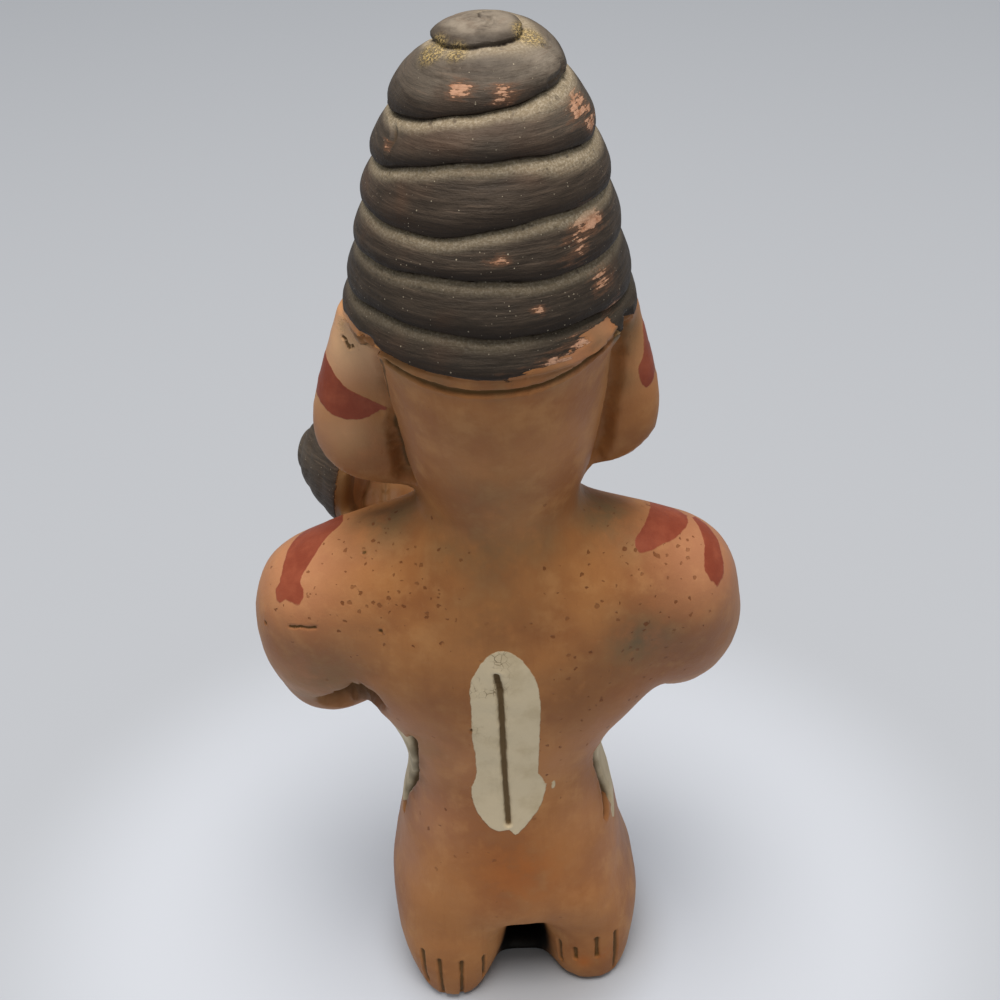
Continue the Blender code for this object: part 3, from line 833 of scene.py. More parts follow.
def lineObject(name, lines, surface):
    # a curve whose points lie on the clay
    curve = bpy.data.curves.new(name, "CURVE")
    curve.dimensions = "3D"
    for line in lines:
        stops = np.linspace(0, len(line) - 1, 6 * (len(line) - 1) + 1)
        places = np.asarray(line, dtype=float)
        smooth = np.stack([np.interp(stops, range(len(line)), places[:, axis]) for axis in range(3)], 1)
        smooth[1:-1] = (smooth[:-2] + 2 * smooth[1:-1] + smooth[2:]) / 4
        spline = curve.splines.new("POLY")
        spline.points.add(len(smooth) - 1)
        for point, spot in zip(spline.points, smooth):
            found = surface.find_nearest(Vector(spot * mm + hatFoot))[0]
            point.co = (*found, 1)
    return newObject(name, curve)


def workClay(mesh, material):
    layCoil(mesh)
    shapeShield(mesh)
    shapeEars(mesh)
    figure = newObject("figureClay", mesh)
    storeValues(mesh, "cut", np.zeros(len(mesh.vertices)))
    polygons = [tuple(p.vertices) for p in mesh.polygons]
    surface = BVHTree.FromPolygons([v.co for v in mesh.vertices], polygons)
    useGroup(figure, coilTree(), {
        "Swell": hat["swell"] * mm, "Undercut": hat["undercut"] * mm, "Uneven": 0.5, "Material": material,
    })
    pressing = lineTree()
    guides = []
    for name, family in toolLines.items():
        guide = lineObject(name, family["lines"], surface)
        guides.append(guide)
        sizes = {"Width": family["width"] * mm, "Depth": family["depth"] * mm, "Burr": family["burr"] * mm}
        useGroup(figure, pressing, {"Lines": guide, "ShadeAndDirt": family["shadeAndDirt"], "Material": material, **sizes})
    useGroup(figure, handTree(), {"Material": material, **handMarks})
    worked = evaluatedMesh(figure)
    bpy.data.objects.remove(figure)
    for guide in guides:
        bpy.data.objects.remove(guide)
    print("clay worked", len(worked.vertices), "points")
    return worked


# The shield: a ribbed dome in the left fist, turned to the left and tilted up a little

shield = {
    "middle": (35.6, -33, 137.6),  # of its flat back
    "turn": 77,
    "tilt": 8.5,
    "radius": 17.6,
    "dome": 16.0,
    "grooves": (0.3, 0.53, 0.75, 0.93),  # shares of the radius
    "grooveDepth": 0.35,
    "grooveWidth": 0.04,
    "rimBand": 1.4,
}


def shieldFrame():
    upright = Matrix.Rotation(math.radians(90 - shield["tilt"]), 3, "X")
    turned = Matrix.Rotation(math.radians(shield["turn"]), 3, "Z")
    return np.array(turned @ upright)


def inShield(points):
    # each point's radius and height over the shield's flat back
    local = (points - np.array(shield["middle"])) @ shieldFrame()
    return local, np.hypot(local[:, 0], local[:, 1])


def shapeShield(mesh):
    points = pointsOf(mesh)
    local, reach = inShield(points)
    share = reach / shield["radius"]
    domed = shield["dome"] * (1 - share**2)
    near = (reach < shield["radius"]) & (np.abs(local[:, 2] - domed) < 3.2) & (local[:, 2] > 0.6)
    target = domed.copy()
    for groove in shield["grooves"]:
        target -= shield["grooveDepth"] * np.exp(-(((share - groove) / shield["grooveWidth"]) ** 2))
    slope = 2 * shield["dome"] * share / shield["radius"]
    shift = np.where(near, (target - local[:, 2]) * ease(local[:, 2], 0.6, 1.6), 0)
    # along the dome's own normal, so that the steep sides keep their width
    length = np.sqrt(1 + slope**2)
    sideways = local[:, :2] / np.maximum(reach, 1e-6)[:, None] * slope[:, None]
    outward = np.column_stack([sideways, np.ones(len(reach))])
    local = local + outward / (length**2)[:, None] * shift[:, None]
    setPoints(mesh, np.where(near[:, None], local @ shieldFrame().T + np.array(shield["middle"]), points))


# The ears: their fronts are hollowed like a shell

ears = {
    "left": {"middle": (31.2, 172), "size": (6.4, 11), "depth": 3.2},
    "right": {"middle": (-28, 175), "size": (5.4, 9.5), "depth": 2.8},
}


def shapeEars(mesh):
    points = pointsOf(mesh)
    facing = rawPoints(mesh, "normal")[:, 1] < -0.2
    for ear in ears.values():
        away = ((points[:, 0] - ear["middle"][0]) / ear["size"][0]) ** 2
        away += ((points[:, 2] - ear["middle"][1]) / ear["size"][1]) ** 2
        dip = ear["depth"] * (1 - ease(np.sqrt(away), 0.2, 1.15))
        side = points[:, 0] * ear["middle"][0] > 0
        points[:, 1] += np.where(facing & side & (points[:, 2] > 150), dip, 0)
    setPoints(mesh, points)


# Painted areas, brushed on as slip. Each outline is in two of the figure's own directions.

redStrokes = {
    "leftEar": {
        "side": 1, "plane": "xz", "above": 172, "below": 192,
        "outline": [
            (41, 192), (36.6, 187.4), (33.1, 182.1), (25.4, 177.2), (24, 176.8), (24, 176.2), (25.7, 176),
            (28.8, 174.2), (31, 173.9), (33.6, 174.1), (35.8, 174.9), (37.8, 176.1), (39.4, 178), (44, 182),
        ],
    },
    "rightEar": {
        "side": -1, "plane": "xz", "above": 176, "below": 196,
        "outline": [
            (-31.6, 194), (-32, 188.5), (-31.6, 186), (-30.5, 184), (-31.6, 180), (-32.7, 178.8), (-34, 179.4),
            (-37, 188), (-36, 194),
        ],
    },
    "leftShoulder": {
        "side": 1, "plane": "xy", "above": 124, "below": 150,
        "outline": [
            (37.4, -2), (38.4, 0), (41.1, 1.9), (44.2, 6.9), (46.9, 9.7), (47.3, 10.8), (46.3, 11.9),
            (46.3, 13.4), (47.7, 13.8), (51.2, 11.5), (52.2, 11.7), (53.1, 10.8), (53.5, 8.6), (52.2, 8.2),
            (50.8, 0), (48.6, -5), (44, -10), (38, -9),
        ],
    },
    "rightShoulderFan": {
        "side": -1, "plane": "xy", "above": 124, "below": 150,
        "outline": [
            (-35.9, -9), (-35.6, -2.8), (-34.3, 2.5), (-33.1, 5.5), (-30.8, 9.4), (-30.9, 10.6), (-31.7, 11.9),
            (-35.3, 10.2), (-39.8, 6.9), (-41.9, 4.6), (-43.6, 2), (-44.5, -0.6), (-44.4, -3.6), (-42.5, -7),
            (-39, -9.6),
        ],
    },
    "rightShoulderStroke": {
        "side": -1, "plane": "xy", "above": 124, "below": 150,
        "outline": [
            (-47.2, 0.4), (-47.8, 5.2), (-47.1, 10.5), (-48, 10.8), (-48.9, 11.6), (-50, 11.1), (-50.6, 11.3),
            (-52.3, 8.2), (-52.4, 6), (-51.6, 1), (-49.6, -3.4), (-47, -6), (-45.8, -4),
        ],
    },
}

creamPatches = {
    "back": {
        "side": (0, 1), "beyond": 12, "plane": "xz",
        "outline": [
            (1.2, 121.8), (-1.4, 121.1), (-4, 119), (-6.1, 115.6), (-7.6, 111.8), (-8.4, 105), (-7.6, 80.6),
            (-8.9, 78.3), (-9.5, 75), (-8.9, 71.2), (-7.6, 67.6), (-4.4, 62.6), (-1.9, 59.7), (-0.1, 61.7),
            (2.5, 61.2), (4.4, 62.2), (6, 64.3), (7.8, 67.5), (8.9, 71.4), (8.9, 76), (7.5, 80.6), (7.6, 88),
            (8.2, 93.2), (8.1, 104), (8.4, 109.4), (7.8, 112.8), (6.3, 116.3), (4.4, 119.7),
        ],
    },
    "leftHip": {
        "side": (1, 0), "beyond": 17, "plane": "yz",
        "outline": [
            (17.8, 87), (10.8, 66.4), (9.6, 62), (8, 58.4), (6, 55), (3, 51.5), (-3, 50), (-7, 55), (-8.5, 65),
            (-7, 76), (-3, 82), (5, 87), (12, 89.5),
        ],
    },
    "rightHip": {
        "side": (-1, 0), "beyond": 17, "plane": "yz",
        "outline": [
            (14, 85), (12.2, 77.5), (9.4, 69), (7, 57), (9.2, 52.4), (9.2, 48.4), (3, 51), (-3, 50), (-7, 55),
            (-8.5, 65), (-7, 76), (-2, 86), (6, 92), (12, 91),
        ],
    },
    "rightNick": {
        "side": (0, 1), "beyond": 12, "plane": "xz",
        "outline": [(-10.6, 76.6), (-11.6, 77.2), (-12.1, 75), (-11.6, 73.4), (-10.7, 74.4)],
    },
    "front": {
        "side": (0, -1), "beyond": 4, "plane": "xz",
        "outline": [
            (-29, 88), (-20, 82.6), (-10, 79.4), (0, 78.6), (10, 79.4), (20, 82.6), (29, 88), (29, 77),
            (20, 72), (12, 69.4), (9.4, 65), (9, 56), (7.4, 49), (4, 45.4), (0, 44.4), (-4, 45.4), (-7.4, 49),
            (-9, 56), (-9.4, 65), (-12, 69.4), (-20, 72), (-29, 77),
        ],
    },
}

paintLimits = {"hatAbove": 190, "faceAbove": 170, "shieldBelow": 160, "faceAhead": -22, "trunkHalfWidth": 31.5}
eyes = {"middle": (10.2, 181.4), "size": (5.4, 2.6), "pupil": 1.55}
stains = {
    # places where smoke from the firing greyed the clay, and spots of painted shade in the creases by the ears and
    # over the left fist: middle, reach in mm, strength
    "smokeAndShade": [
        ((26, 3, 146), 9, 0.85), ((-24, 4, 147), 9, 0.95), ((-27, 9, 140), 6, 0.5), ((3, 21, 146), 10.5, 0.6),
        ((2, 24, 162), 11, 0.4), ((3, 22, 134), 10, 0.3), ((-32, 18, 118), 8.5, 0.95),
        ((43, 15, 105), 12, 0.6), ((50, 8, 96), 11, 0.55), ((10, 16, 146), 8, 0.5), ((-8, 18, 148), 7, 0.5),
        ((20, 16, 88), 9, 0.35), ((34, -27, 128), 13, 0.55), ((28, 12, 196), 3, 0.5), ((27, 9, 168), 9, 0.4),
        ((24, 8, 182), 6, 0.35), ((2, 27, 184), 14, 0.12), ((20, 25, 199), 5, 0.6), ((12, 30, 198), 5, 0.5),
        ((0, 33, 197), 6, 0.4), ((-12, 30, 199), 6, 0.45), ((-20, 24, 202), 5, 0.55), ((-27, 12, 197), 4, 1.0),
        ((-25.7, 16.5, 199.6), 2.6, 1.8), ((27.5, 13, 198.5), 3.2, 1.3), ((-27, 7, 190), 4, 0.7),
        ((-27, 6, 181), 4, 0.5), ((-40, -22, 92), 12, 0.4), ((14, -30, 150), 8, 0.4), ((20, -20, 40), 10, 0.3),
        ((-28, 6, 194), 5, 0.8),
    ],
    # where iron grains burnt out as brown specks
    "grains": [
        ((34, 10, 134), 15, 1.0), ((-32, 14, 136), 16, 1.0), ((20, 18, 136), 12, 0.8),
        ((-14, 20, 134), 10, 0.5), ((-28, 18, 112), 14, 0.5), ((-20, 22, 84), 14, 0.25),
        ((20, 20, 66), 14, 0.12), ((0, -26, 112), 20, 0.5),
    ],
    # where the dark slip has flaked off the hat
    "chips": [
        ((5.6, 16.8, 251.2), 4.2, 1.0), ((-2.4, 17.8, 250.4), 4.6, 0.92), ((-17, 9.4, 245), 7, 0.95),
        ((-19.4, 7, 241.6), 6, 0.9), ((20.3, 10.8, 239), 3, 0.85), ((-19.8, 16.6, 225), 7.5, 1.05),
        ((-16, 22, 221.8), 7, 0.85), ((4, 22, 238), 4, 0.6), ((-1.2, 28.7, 222), 3.6, 0.95),
        ((-8.7, 29.3, 212), 2.6, 0.85), ((-21.9, 19.2, 213), 6, 0.85), ((-24, 16.5, 206), 5.5, 0.85),
        ((-18.3, 26, 202.4), 7, 0.95), ((-13.5, 29, 200.2), 6.5, 0.95), ((-8, 31.6, 199), 5, 0.85),
        ((-2, 33, 198.4), 4, 0.7), ((-20, -18, 224), 5, 0.7), ((14, -26, 212), 4, 0.7),
        ((24, -10, 236), 3.5, 0.7),
    ],
    # pale yellow grit pressed in beside the cap and where the left ear meets the hat
    "grit": [
        ((10.5, 6.5, 255.5), 3.2, 1.0), ((6, 10, 256), 2.4, 0.7), ((-8, 4.5, 258), 3.4, 1.0),
        ((20.5, 11, 243), 2, 0.8), ((29, 9, 195), 5, 0.35), ((33, 5, 197), 3, 0.4),
    ],
    # painted sheen: rosier clay where the shoulders, sides and ears catch the light
    "sheenSpots": [
        ((47, 4, 131), 16, 0.9), ((-46, 4, 131), 16, 0.9), ((23, 14, 93), 11, 0.9), ((-23, 14, 92), 11, 0.8),
        ((24, 18, 62), 13, 0.6), ((-24, 18, 60), 10, 0.3), ((52, 12, 104), 11, 0.5), ((33, 6, 191), 9, 1.25),
        ((40, 5, 170), 9, 0.6), ((33, 6, 171), 6, 0.5), ((-36, 5, 186), 9, 0.5), ((27, 8, 76), 10, 0.5),
        ((16, 24, 176), 9, 0.15), ((-16, 24, 176), 9, 0.2), ((29, 12, 44), 12, 0.5), ((-30, 12, 44), 12, 0.4),
        ((22, 16, 80), 7, 0.9), ((-15, 28, 201), 6, 0.6), ((-21, 22, 203), 5, 0.8), ((14, 24, 84), 9, 0.4),
        ((-14, 24, 84), 9, 0.3),
    ],
    # where the dark slip has faded to grey at the top of the hat
    "faded": [
        ((-11, 9, 253), 6.5, 0.9), ((2, 2, 259.5), 8, 1.2), ((8, 12, 253), 5, 0.3), ((-15, 10, 248), 5, 0.35),
        ((50, -33, 142), 12, 0.3),
    ],
    # where the fire burnt the clay to orange
    "fired": [
        ((-19.6, 23.4, 8.6), 2.4, 1.3), ((-26, 22.6, 10.2), 2.3, 1.3), ((-2, 22, 46), 13, 1.2),
        ((-14, 24, 38), 9, 0.5), ((6, 23, 36), 8, 0.5), ((-20, 10, 100), 9, 0.4),
    ],
    # painted shade: darker clay on the back, under the ears, at the feet and over the top of the left fist
    "shadeSpots": [
        ((-18, 23, 105), 13, 0.62), ((15, 24, 106), 12, 0.36), ((1, 24, 127), 12, 0.34),
        ((0, 25, 50), 10, 0.36), ((17, 28, 12), 9, 0.44), ((-22, 23, 10), 9, 0.42), ((-45, 15, 112), 9, 0.4),
        ((0, 30, 182), 12, 0.1), ((31, 6, 161), 7, 0.3), ((-29, 5, 166), 8, 0.3), ((19, 26, 26), 9, 0.3),
        ((36, -24, 124), 8, 0.15), ((28, -25, 133), 6, 0.5),
    ],
    # where the clay is palest
    "pale": [((32, 6, 192), 8, 0.8), ((34, 6, 171), 6, 0.3), ((41, 4, 180), 7, 0.3)],
    # painted shade in the gap under the left arm and along the slits at the hips
    "gapShade": [
        ((37, 7, 93), 6, 1.0), ((33, 9, 98), 5, 0.8), ((23.2, 14.6, 79), 4, 0.65), ((23.4, 12.2, 72), 4, 0.7),
        ((25, 8.8, 65), 3.6, 0.7), ((27, 6.8, 58), 3.4, 0.7), ((-24, 9.8, 68), 3, 0.35),
        ((-25, 9.4, 61), 3, 0.45),
    ],
    # painted shade: the closed hollow under the legs, painted black
    "legHollowShade": [((-3, 4, 8), 15, 1.0), ((-3, -8, 10), 14, 1.0)],
}

plainStains = [name for name in stains if name not in ("chips", "legHollowShade")]


def spots(points, places, flat=1):
    total = np.zeros(len(points))
    for middle, reach, strength in places:
        away = (((points - np.array(middle)) * (1, 1, flat)) ** 2).sum(1) / reach**2
        total = np.maximum(total, strength * np.exp(-away))
    return total


def paintAreas(mesh):
    points = pointsOf(mesh)
    normals = rawPoints(mesh, "normal")
    axes = {"x": points[:, 0], "y": points[:, 1], "z": points[:, 2]}
    far = -9.0  # mm, well outside an area

    red = np.full(len(points), far)
    for stroke in redStrokes.values():
        across, up = (axes[letter] for letter in stroke["plane"])
        amount = insideBy(across, up, stroke["outline"])
        allowed = (points[:, 2] > stroke["above"]) & (points[:, 2] < stroke["below"])
        allowed &= points[:, 0] * stroke["side"] > 0
        if stroke["plane"] == "xy":
            allowed &= normals[:, 2] > -0.1
        red = np.maximum(red, np.where(allowed, amount, far))

    cream = np.full(len(points), far)
    for patch in creamPatches.values():
        across, up = (axes[letter] for letter in patch["plane"])
        amount = insideBy(across, up, patch["outline"])
        beyond = points[:, 0] * patch["side"][0] + points[:, 1] * patch["side"][1] - patch["beyond"]
        trunk = paintLimits["trunkHalfWidth"] - np.abs(points[:, 0])
        cream = np.maximum(cream, np.minimum(np.minimum(amount, beyond), trunk))

    eyeX, eyeZ = eyes["middle"]
    wide, tall = eyes["size"]
    level = np.abs(points[:, 0]) - eyeX
    almond = 1 - (level / wide) ** 2 - ((points[:, 2] - eyeZ) / tall) ** 2
    onFace = (points[:, 1] < paintLimits["faceAhead"]) & (normals[:, 1] < -0.2)
    onFace &= (points[:, 2] > paintLimits["faceAbove"]) & (points[:, 2] < paintLimits["hatAbove"])
    cream = np.maximum(cream, np.where(onFace, almond * tall * 0.5, far))
    pupil = eyes["pupil"] - np.hypot(level, points[:, 2] - eyeZ)

    arc = arcAt(points[:, 2])
    angle = domeAngle(points)
    turned = -np.degrees(angle)
    # the slip ends a little higher by the left ear and has worn off towards the right
    rim = coilLines(angle)[0] + 1.5 * ease(-turned, 40, 54) * (1 - ease(-turned, 95, 110))
    rim += (2.4 * ease(turned, 2, 26) + 2.4 * ease(turned, 28, 46)) * (1 - ease(turned, 52, 60))
    aboveRim = points[:, 2] - hat["rim"]
    dark = np.where(points[:, 2] > paintLimits["hatAbove"], np.where(aboveRim > 0, arc, aboveRim) - rim, far)
    dark = np.minimum(dark, (0.3 - domeValue(points)) * 12)
    local, reach = inShield(points)
    domed = shield["dome"] * (1 - (reach / shield["radius"]) ** 2)
    onShield = np.minimum(local[:, 2] - shield["rimBand"], 3.4 - np.abs(local[:, 2] - np.maximum(domed, 1.5)))
    onShield = np.minimum(onShield, shield["radius"] - 0.9 - reach)
    dark = np.maximum(dark, np.where(points[:, 2] < paintLimits["shieldBelow"], onShield, far))
    dark = np.maximum(dark, np.where(onFace, pupil, far))
    back = np.minimum(shield["rimBand"] - local[:, 2], local[:, 2] + 3.6)
    back = np.minimum(back, reach - shield["radius"] + 4.5)
    ochre = np.where(reach < shield["radius"] + 2, back, far)

    storeValues(mesh, "redSlip", np.clip(red, far, 9))
    storeValues(mesh, "creamSlip", np.clip(cream, far, 9))
    storeValues(mesh, "darkSlip", np.clip(dark, far, 9))
    storeValues(mesh, "ochreSlip", np.clip(ochre, far, 9))
    storeValues(mesh, "chips", spots(points, stains["chips"], 1.7))
    for name in plainStains:
        storeValues(mesh, name, spots(points, stains[name]))
    inHollow = (np.abs(points[:, 0] + 3) < 13) & (np.abs(points[:, 1] + 1.5) < 22.5) & (points[:, 2] < 30)
    storeValues(mesh, "legHollowShade", np.where(inHollow, ease(spots(points, stains["legHollowShade"]), 0.2, 0.5), 0))
    storeValues(mesh, "crazing", ease(points[:, 2], 88, 112) * ease(points[:, 0], -3, 3))

    edges = edgesOf(mesh)
    smoothed = relax(points, edges, 22, 0.5)
    hollow = ((smoothed - points) * normals).sum(1)  # mm; above 0 in a hollow, below 0 on a ridge
    storeValues(mesh, "hollow", relax(np.repeat(hollow[:, None], 3, 1), edges, 2, 0.5)[:, 0])


# Burnished terracotta: rubbed with a pebble when leather hard, so the skin has a low silky gloss
# with soft streaks over a slightly grainy body. Slips of clay and iron are brushed on top.

clayLook = {
    "clayShade": "#6c4426",
    "clayDeep": "#966138",
    "clayMid": "#ad7746",
    "clayLight": "#bd8b58",
    "clayPale": "#d9b48c",
    "clayRaw": "#b9927a",
    "sheenRose": "#c08d72",
    "clayOrange": "#a5602a",
    "chipEdge": "#996f56",
    "nookShade": "#1f150c",
    "rubbed": "#6d4e3b",
    "scratched": "#716255",
    "grit": "#b8a26a",
    "legHollowShade": "#0d0a07",
    "smokeAndShade": "#6f5d42",
    "grain": "#70401f",
    "cutDirtAndShade": "#5c4421",
    "redSlip": "#934b36",
    "redDeep": "#803a29",
    "creamSlip": "#d3c5a8",
    "creamDirt": "#ab9873",
    "darkSlip": "#473e36",
    "darkDeep": "#352e28",
    "darkLow": "#25221d",
    "darkUnderShade": "#241b15",  # painted shade along the lower, downward-facing edge of a coil
    "darkFaded": "#938b80",
    "dust": "#968a74",
    "dustPale": "#bab09d",
    "ochre": "#7d5c3a",
    "gloss": 0.43,
}


def toneOf(tone):
    return linear(clayLook[tone]) if isinstance(tone, str) else tone


def layCoats(tree, colour, coats):
    # each coat: its tone, where it shows, its strength and, if something breaks it up, that pattern
    # with the values where it starts to show and is full
    colour = toneOf(colour)
    for tone, shown, strength, *broken in coats:
        share = addNode(tree, "ShaderNodeMath", (shown, strength), operation="MULTIPLY")
        if broken:
            eased = addNode(tree, "ShaderNodeMapRange", broken, interpolation_type="SMOOTHSTEP")
            share = addNode(tree, "ShaderNodeMath", (share, eased), operation="MULTIPLY")
        colour = addNode(tree, "ShaderNodeMix", {0: share, 6: colour, 7: toneOf(tone)}, data_type="RGBA")
    return colour


def addUp(tree, total, parts):
    # adds to the total each part times its amount
    for part, amount in parts:
        total = addNode(tree, "ShaderNodeMath", (part, amount, total), operation="MULTIPLY_ADD")
    return total


def raggedArea(tree, area, noise, rag, soft):
    # from an area's depth in mm, its mask with an uneven edge
    inner = addNode(tree, "ShaderNodeMath", (area, rag), operation="SUBTRACT")
    shifted = addNode(tree, "ShaderNodeMath", (noise, 2 * rag, inner), operation="MULTIPLY_ADD")
    return addNode(tree, "ShaderNodeMapRange", (shifted, -soft, soft), interpolation_type="SMOOTHSTEP")


def where(tree, *masks):
    # where all the masks hold
    held, *others = masks
    for mask in others:
        held = addNode(tree, "ShaderNodeMath", (held, mask), operation="MULTIPLY")
    return held


def scatter(tree, spacing, place, base, spread, edge):
    # round dots of several sizes, one to a cell, and three random values for each
    cells = {"Vector": place, "Scale": perMm(spacing), "Randomness": 1.0}
    dots = addNode(tree, "ShaderNodeTexVoronoi", cells).outputs
    kind = addNode(tree, "ShaderNodeSeparateColor", (dots["Color"],)).outputs
    power, most = spread
    uneven = addNode(tree, "ShaderNodeMath", (kind[1], power), operation="POWER")
    size = addNode(tree, "ShaderNodeMath", (uneven, most, base), operation="MULTIPLY_ADD")
    inside = addNode(tree, "ShaderNodeMath", (size, dots["Distance"]), operation="SUBTRACT")
    dot = addNode(tree, "ShaderNodeMapRange", (inside, *edge), interpolation_type="SMOOTHSTEP")
    return dot, kind


def burnishedTerracotta():
    material = bpy.data.materials.new("burnishedTerracotta")
    material.use_nodes = True
    tree = material.node_tree
    shader = tree.nodes["Principled BSDF"]
    place = addNode(tree, "ShaderNodeTexCoord").outputs["Object"]
    high = addNode(tree, "ShaderNodeSeparateXYZ", (place,)).outputs["Z"]

    # size in mm, detail, how the pattern is stretched and its roughness. Brush marks run round the
    # hat, burnishing strokes run down the body.
    patterns = {
        "broad": (26, 3, None, 0.6), "middle": (7, 4, None, 0.6), "small": (1.8, 4, None, 0.6),
        "fine": (0.5, 3, None, 0.6), "brush": (0.9, 4, (0.09, 0.09, 1), 0.65),
        "burnish": (1.6, 4, (1, 1, 0.1), 0.65), "flake": (2.6, 4, (0.3, 0.3, 1), 0.65),
        "hair": (0.5, 4, (0.05, 0.05, 1), 0.65),
    }
    noise = {}
    for name, (size, detail, squash, roughness) in patterns.items():
        spread = addNode(tree, "ShaderNodeMapping", {"Vector": place, "Scale": squash}) if squash else place
        settings = {"Vector": spread, "Scale": perMm(size), "Detail": float(detail), "Roughness": roughness}
        noise[name] = addNode(tree, "ShaderNodeTexNoise", settings).outputs[0]

    read = {}
    for name in ("redSlip", "creamSlip", "darkSlip", "ochreSlip", "crazing", "hollow", "cut", "ledge", "nookShade",
                 "coilUnderShade", "legHollowShade", "chips", *plainStains):
        read[name] = addNode(tree, "ShaderNodeAttribute", attribute_name=name).outputs["Fac"]

    # patterns and heights eased from 0 to 1 between two values, or between the last two if given
    eased = {
        "smokePatches": (noise["middle"], 0.2, 0.62),
        "crazedParts": (noise["middle"], 0.45, 0.6),
        "speckled": (noise["middle"], 0.3, 0.62),
        "hatTop": (high, 0.23, 0.264),
        "flaky": (noise["flake"], 0.2, 0.6),
        "underTurns": (high, 0.228, 0.204),
        "dustPatches": (noise["small"], 0.2, 0.45),
        "dustHeight": (high, 0.202, 0.236, 0.38, 0.98),
        "gritHeight": (high, 0.235, 0.2),
        "grainy": (read["grit"], 0.1, 0.7),
        "sandy": (noise["fine"], 0.4, 0.55),
    }
    for name, values in eased.items():
        eased[name] = addNode(tree, "ShaderNodeMapRange", values, interpolation_type="SMOOTHSTEP")

    # bare clay, with smoke stains, painted sheen and painted shade
    # smoke stains and painted shade
    smokedAndShaded = where(tree, read["smokeAndShade"], eased["smokePatches"])
    smokedAndShaded = addNode(tree, "ShaderNodeMath", (smokedAndShaded, 0.92), operation="MINIMUM")
    colour = layCoats(tree, "clayDeep", [
        ("clayMid", 1.0, 1.0, noise["broad"], 0.34, 0.66),
        ("clayLight", 1.0, 0.55, noise["middle"], 0.45, 0.75),
        ("clayDeep", 1.0, 0.22, noise["burnish"], 0.5, 0.72),
        ("clayLight", 1.0, 0.2, noise["small"], 0.52, 0.8),
        # painted sheen
        ("sheenRose", read["sheenSpots"], 0.6),
        # painted shade
        ("clayShade", read["shadeSpots"], 1.0, noise["middle"], 0.1, 0.5),
        ("clayPale", read["pale"], 1.0),
        ("clayOrange", read["fired"], 0.7, noise["middle"], 0.3, 0.6),
        ("smokeAndShade", smokedAndShaded, 1.0),
    ])

    # red slip
    redMask = raggedArea(tree, read["redSlip"], noise["small"], 0.32, 0.14)
    redTone = layCoats(tree, "redDeep", [("redSlip", 1.0, 1.0, noise["middle"], 0.35, 0.7)])

    # cream slip, with dirt in its crazing
    creamMask = raggedArea(tree, read["creamSlip"], noise["small"], 0.3, 0.14)
    cells = {"Vector": place, "Scale": perMm(1.6), "Randomness": 1.0}
    edge = addNode(tree, "ShaderNodeTexVoronoi", cells, feature="DISTANCE_TO_EDGE")
    cracks = addNode(tree, "ShaderNodeMapRange", (edge, 0.012, 0.05, 1.0, 0.0), interpolation_type="SMOOTHSTEP")
    cracked = where(tree, cracks, read["crazing"], eased["crazedParts"], creamMask)
    creamTone = layCoats(tree, "creamSlip", [
        ("creamDirt", 1.0, 0.4, noise["middle"], 0.42, 0.75),
        ("creamDirt", 1.0, 0.4, noise["small"], 0.64, 0.8),
        ("cutDirtAndShade", cracked, 0.75),
    ])

    # dark slip on the hat and the shield, faded towards the top, streaked by the brush
    rag = addNode(tree, "ShaderNodeMath", (read["chips"], 9.0, 0.9), operation="MULTIPLY_ADD")
    streaky = addUp(tree, -1.0, [(noise["flake"], 1.0), (noise["brush"], 1.0)])
    edge = addUp(tree, read["darkSlip"], [(streaky, rag)])
    darkMask = addNode(tree, "ShaderNodeMapRange", (edge, -0.12, 0.12), interpolation_type="SMOOTHSTEP")
    thin = addUp(tree, 0.0, [(read["faded"], 0.62), (eased["hatTop"], 0.3)])
    fade = where(tree, thin, eased["flaky"])
    fade = addNode(tree, "ShaderNodeMath", (fade, 0.95), operation="MINIMUM")
    worn = addUp(tree, -1.77, [
        (read["chips"], 0.62), (noise["flake"], 0.9), (noise["brush"], 1.25), (noise["small"], 0.35),
    ])
    chipMask = addNode(tree, "ShaderNodeMapRange", (worn, -0.01, 0.035), interpolation_type="SMOOTHSTEP")
    wearing = addNode(tree, "ShaderNodeMapRange", (worn, -0.25, 0.0), interpolation_type="SMOOTHSTEP")
    darkTone = layCoats(tree, "darkDeep", [
        ("darkSlip", 1.0, 1.0, noise["brush"], 0.38, 0.66),
        ("rubbed", 1.0, 0.25, noise["broad"], 0.5, 0.68),
        ("darkFaded", fade, 1.0),
        ("scratched", 1.0, 0.4, noise["hair"], 0.54, 0.7),
        ("darkLow", eased["underTurns"], 0.4, high, 0.19, 0.195),
        # painted shade along the lower edge of each coil
        ("darkUnderShade", read["coilUnderShade"], 0.65),
        ("rubbed", wearing, 0.5, read["chips"], 0.05, 0.5),
    ])
    chipTone = layCoats(tree, "chipEdge", [("clayRaw", 1.0, 1.0, noise["small"], 0.35, 0.6)])
    sound = addNode(tree, "ShaderNodeMath", (1.0, chipMask), operation="SUBTRACT")
    darkShown = where(tree, darkMask, sound)
    chipped = where(tree, darkMask, chipMask)

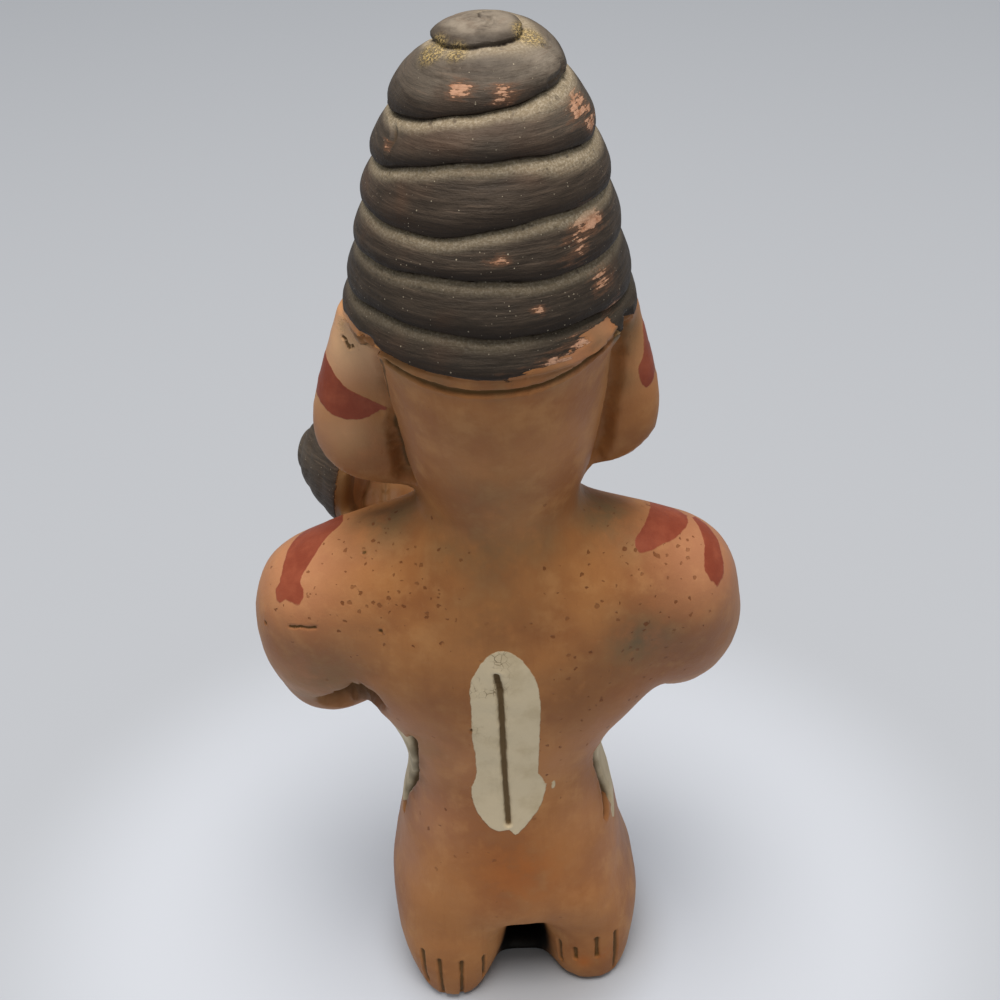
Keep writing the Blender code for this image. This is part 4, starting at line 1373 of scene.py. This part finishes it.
    # dust that settled on the ledges of the coil; painted shade under the coil's lower edges, in the gap under the
    # left arm, at the hip slits and in hollows; dirt and painted shade in cuts and creases
    dusty = where(tree, read["ledge"], eased["dustPatches"], eased["dustHeight"])
    dustTone = layCoats(tree, "dust", [("dustPale", 1.0, 1.0, noise["fine"], 0.4, 0.7)])
    offDark = addNode(tree, "ShaderNodeMath", (1.0, darkMask), operation="SUBTRACT")
    colour = layCoats(tree, colour, [
        (redTone, redMask, 0.96),
        (creamTone, creamMask, 1.0),
        (chipTone, chipped, 1.0),
        (darkTone, darkShown, 1.0),
        ("ochre", raggedArea(tree, read["ochreSlip"], noise["small"], 0.3, 0.2), 1.0),
        (dustTone, dusty, 1.0),
        # painted shade under the coil's lower edges and in the gaps
        ("nookShade", read["nookShade"], 0.85),
        ("nookShade", read["gapShade"], 0.8),
        # painted shade in the hollows, off the dark slip
        ("cutDirtAndShade", offDark, 0.3, read["hollow"], 0.15, 0.8),
        # the cuts darkened, partly dirt and partly painted shade
        ("cutDirtAndShade", 1.0, 0.88, read["cut"], 0.2, 0.8),
    ])

    # iron grains: dark brown specks, the larger ones sunk a little
    wander = addNode(tree, "ShaderNodeTexNoise", {"Vector": place, "Scale": perMm(1.0), "Detail": 1.0})
    strayed = (wander.outputs["Color"], (1.1 * mm,) * 3, place)
    bent = addNode(tree, "ShaderNodeVectorMath", strayed, operation="MULTIPLY_ADD")
    dot, kind = scatter(tree, 1.7, bent, 0.15, (2.0, 0.24), (-0.02, 0.05))
    often = where(tree, read["grains"], 1.1, eased["speckled"])
    picked = addNode(tree, "ShaderNodeMath", (often, kind[0]), operation="SUBTRACT")
    chosen = addNode(tree, "ShaderNodeMapRange", (picked, -0.03, 0.03), interpolation_type="SMOOTHSTEP")
    painted = redMask
    for mask in (creamMask, darkMask):
        painted = addNode(tree, "ShaderNodeMath", (painted, mask), operation="MAXIMUM")
    bare = addNode(tree, "ShaderNodeMath", (1.0, painted), operation="SUBTRACT")
    grainMask = where(tree, dot, chosen, bare)
    grainDepth = addUp(tree, 0.45, [(kind[2], 0.4)])

    # white grit in the slip of the hat, in clusters, and yellow grit pressed in
    dot, kind = scatter(tree, 0.9, place, 0.1, (1.0, 0.12), (0.0, 0.05))
    clustered = addUp(tree, -1.1, [(kind[0], 1.0), (noise["middle"], 2.2), (eased["gritHeight"], 0.16)])
    inCluster = addNode(tree, "ShaderNodeMapRange", (clustered, 0.75, 0.86), interpolation_type="SMOOTHSTEP")
    gritMask = where(tree, dot, inCluster, darkShown)
    gritPaleness = addUp(tree, 0.2, [(kind[2], 0.5)])
    sand = where(tree, eased["grainy"], eased["sandy"])
    colour = layCoats(tree, colour, [
        ("grain", grainMask, grainDepth),
        ("dustPale", gritMask, gritPaleness),
        ("grit", sand, 0.65),
        # painted shade: the hollow under the legs black
        ("legHollowShade", read["legHollowShade"], 1.0),
    ])
    tree.links.new(colour.outputs[2], shader.inputs["Base Color"])

    # gloss: silky clay and red, duller dark slip, matt cream, chips and dust
    matt = creamMask
    for mask in (chipped, dusty):
        matt = addNode(tree, "ShaderNodeMath", (matt, mask), operation="MAXIMUM")
    rough = addUp(tree, clayLook["gloss"] - 0.11, [
        (noise["middle"], 0.22), (noise["small"], 0.12), (matt, 0.3), (darkShown, 0.1),
    ])
    tree.links.new(rough.outputs[0], shader.inputs["Roughness"])
    shader.inputs["IOR"].default_value = 1.45
    shader.inputs["Specular IOR Level"].default_value = 0.22
    shader.inputs["Metallic"].default_value = 0

    # fine relief in mm
    relief = addUp(tree, 0.0, [
        (noise["fine"], 0.05), (noise["small"], 0.1), (where(tree, noise["brush"], darkMask), 0.3),
        (where(tree, noise["small"], darkMask), 0.12), (noise["burnish"], 0.05), (darkShown, 0.1),
        (redMask, 0.05), (creamMask, 0.12), (grainMask, -0.1), (cracked, -0.12), (gritMask, 0.08), (sand, 0.25),
    ])
    bump = addNode(tree, "ShaderNodeBump", {"Height": relief, "Strength": 1.0, "Distance": mm})
    tree.links.new(bump.outputs[0], shader.inputs["Normal"])
    return material


clay = burnishedTerracotta()
print("clay and slips mixed")
worked = workClay(makeSkin(), clay)
paintAreas(worked)
worked.materials.clear()
worked.materials.append(clay)
worked.shade_smooth()
figurePiece = newObject("figureClay", worked)
print("figure painted,", sum(len(p.vertices) - 2 for p in worked.polygons), "triangles")

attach(figurePiece, "root")
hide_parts("terracotta_figure")
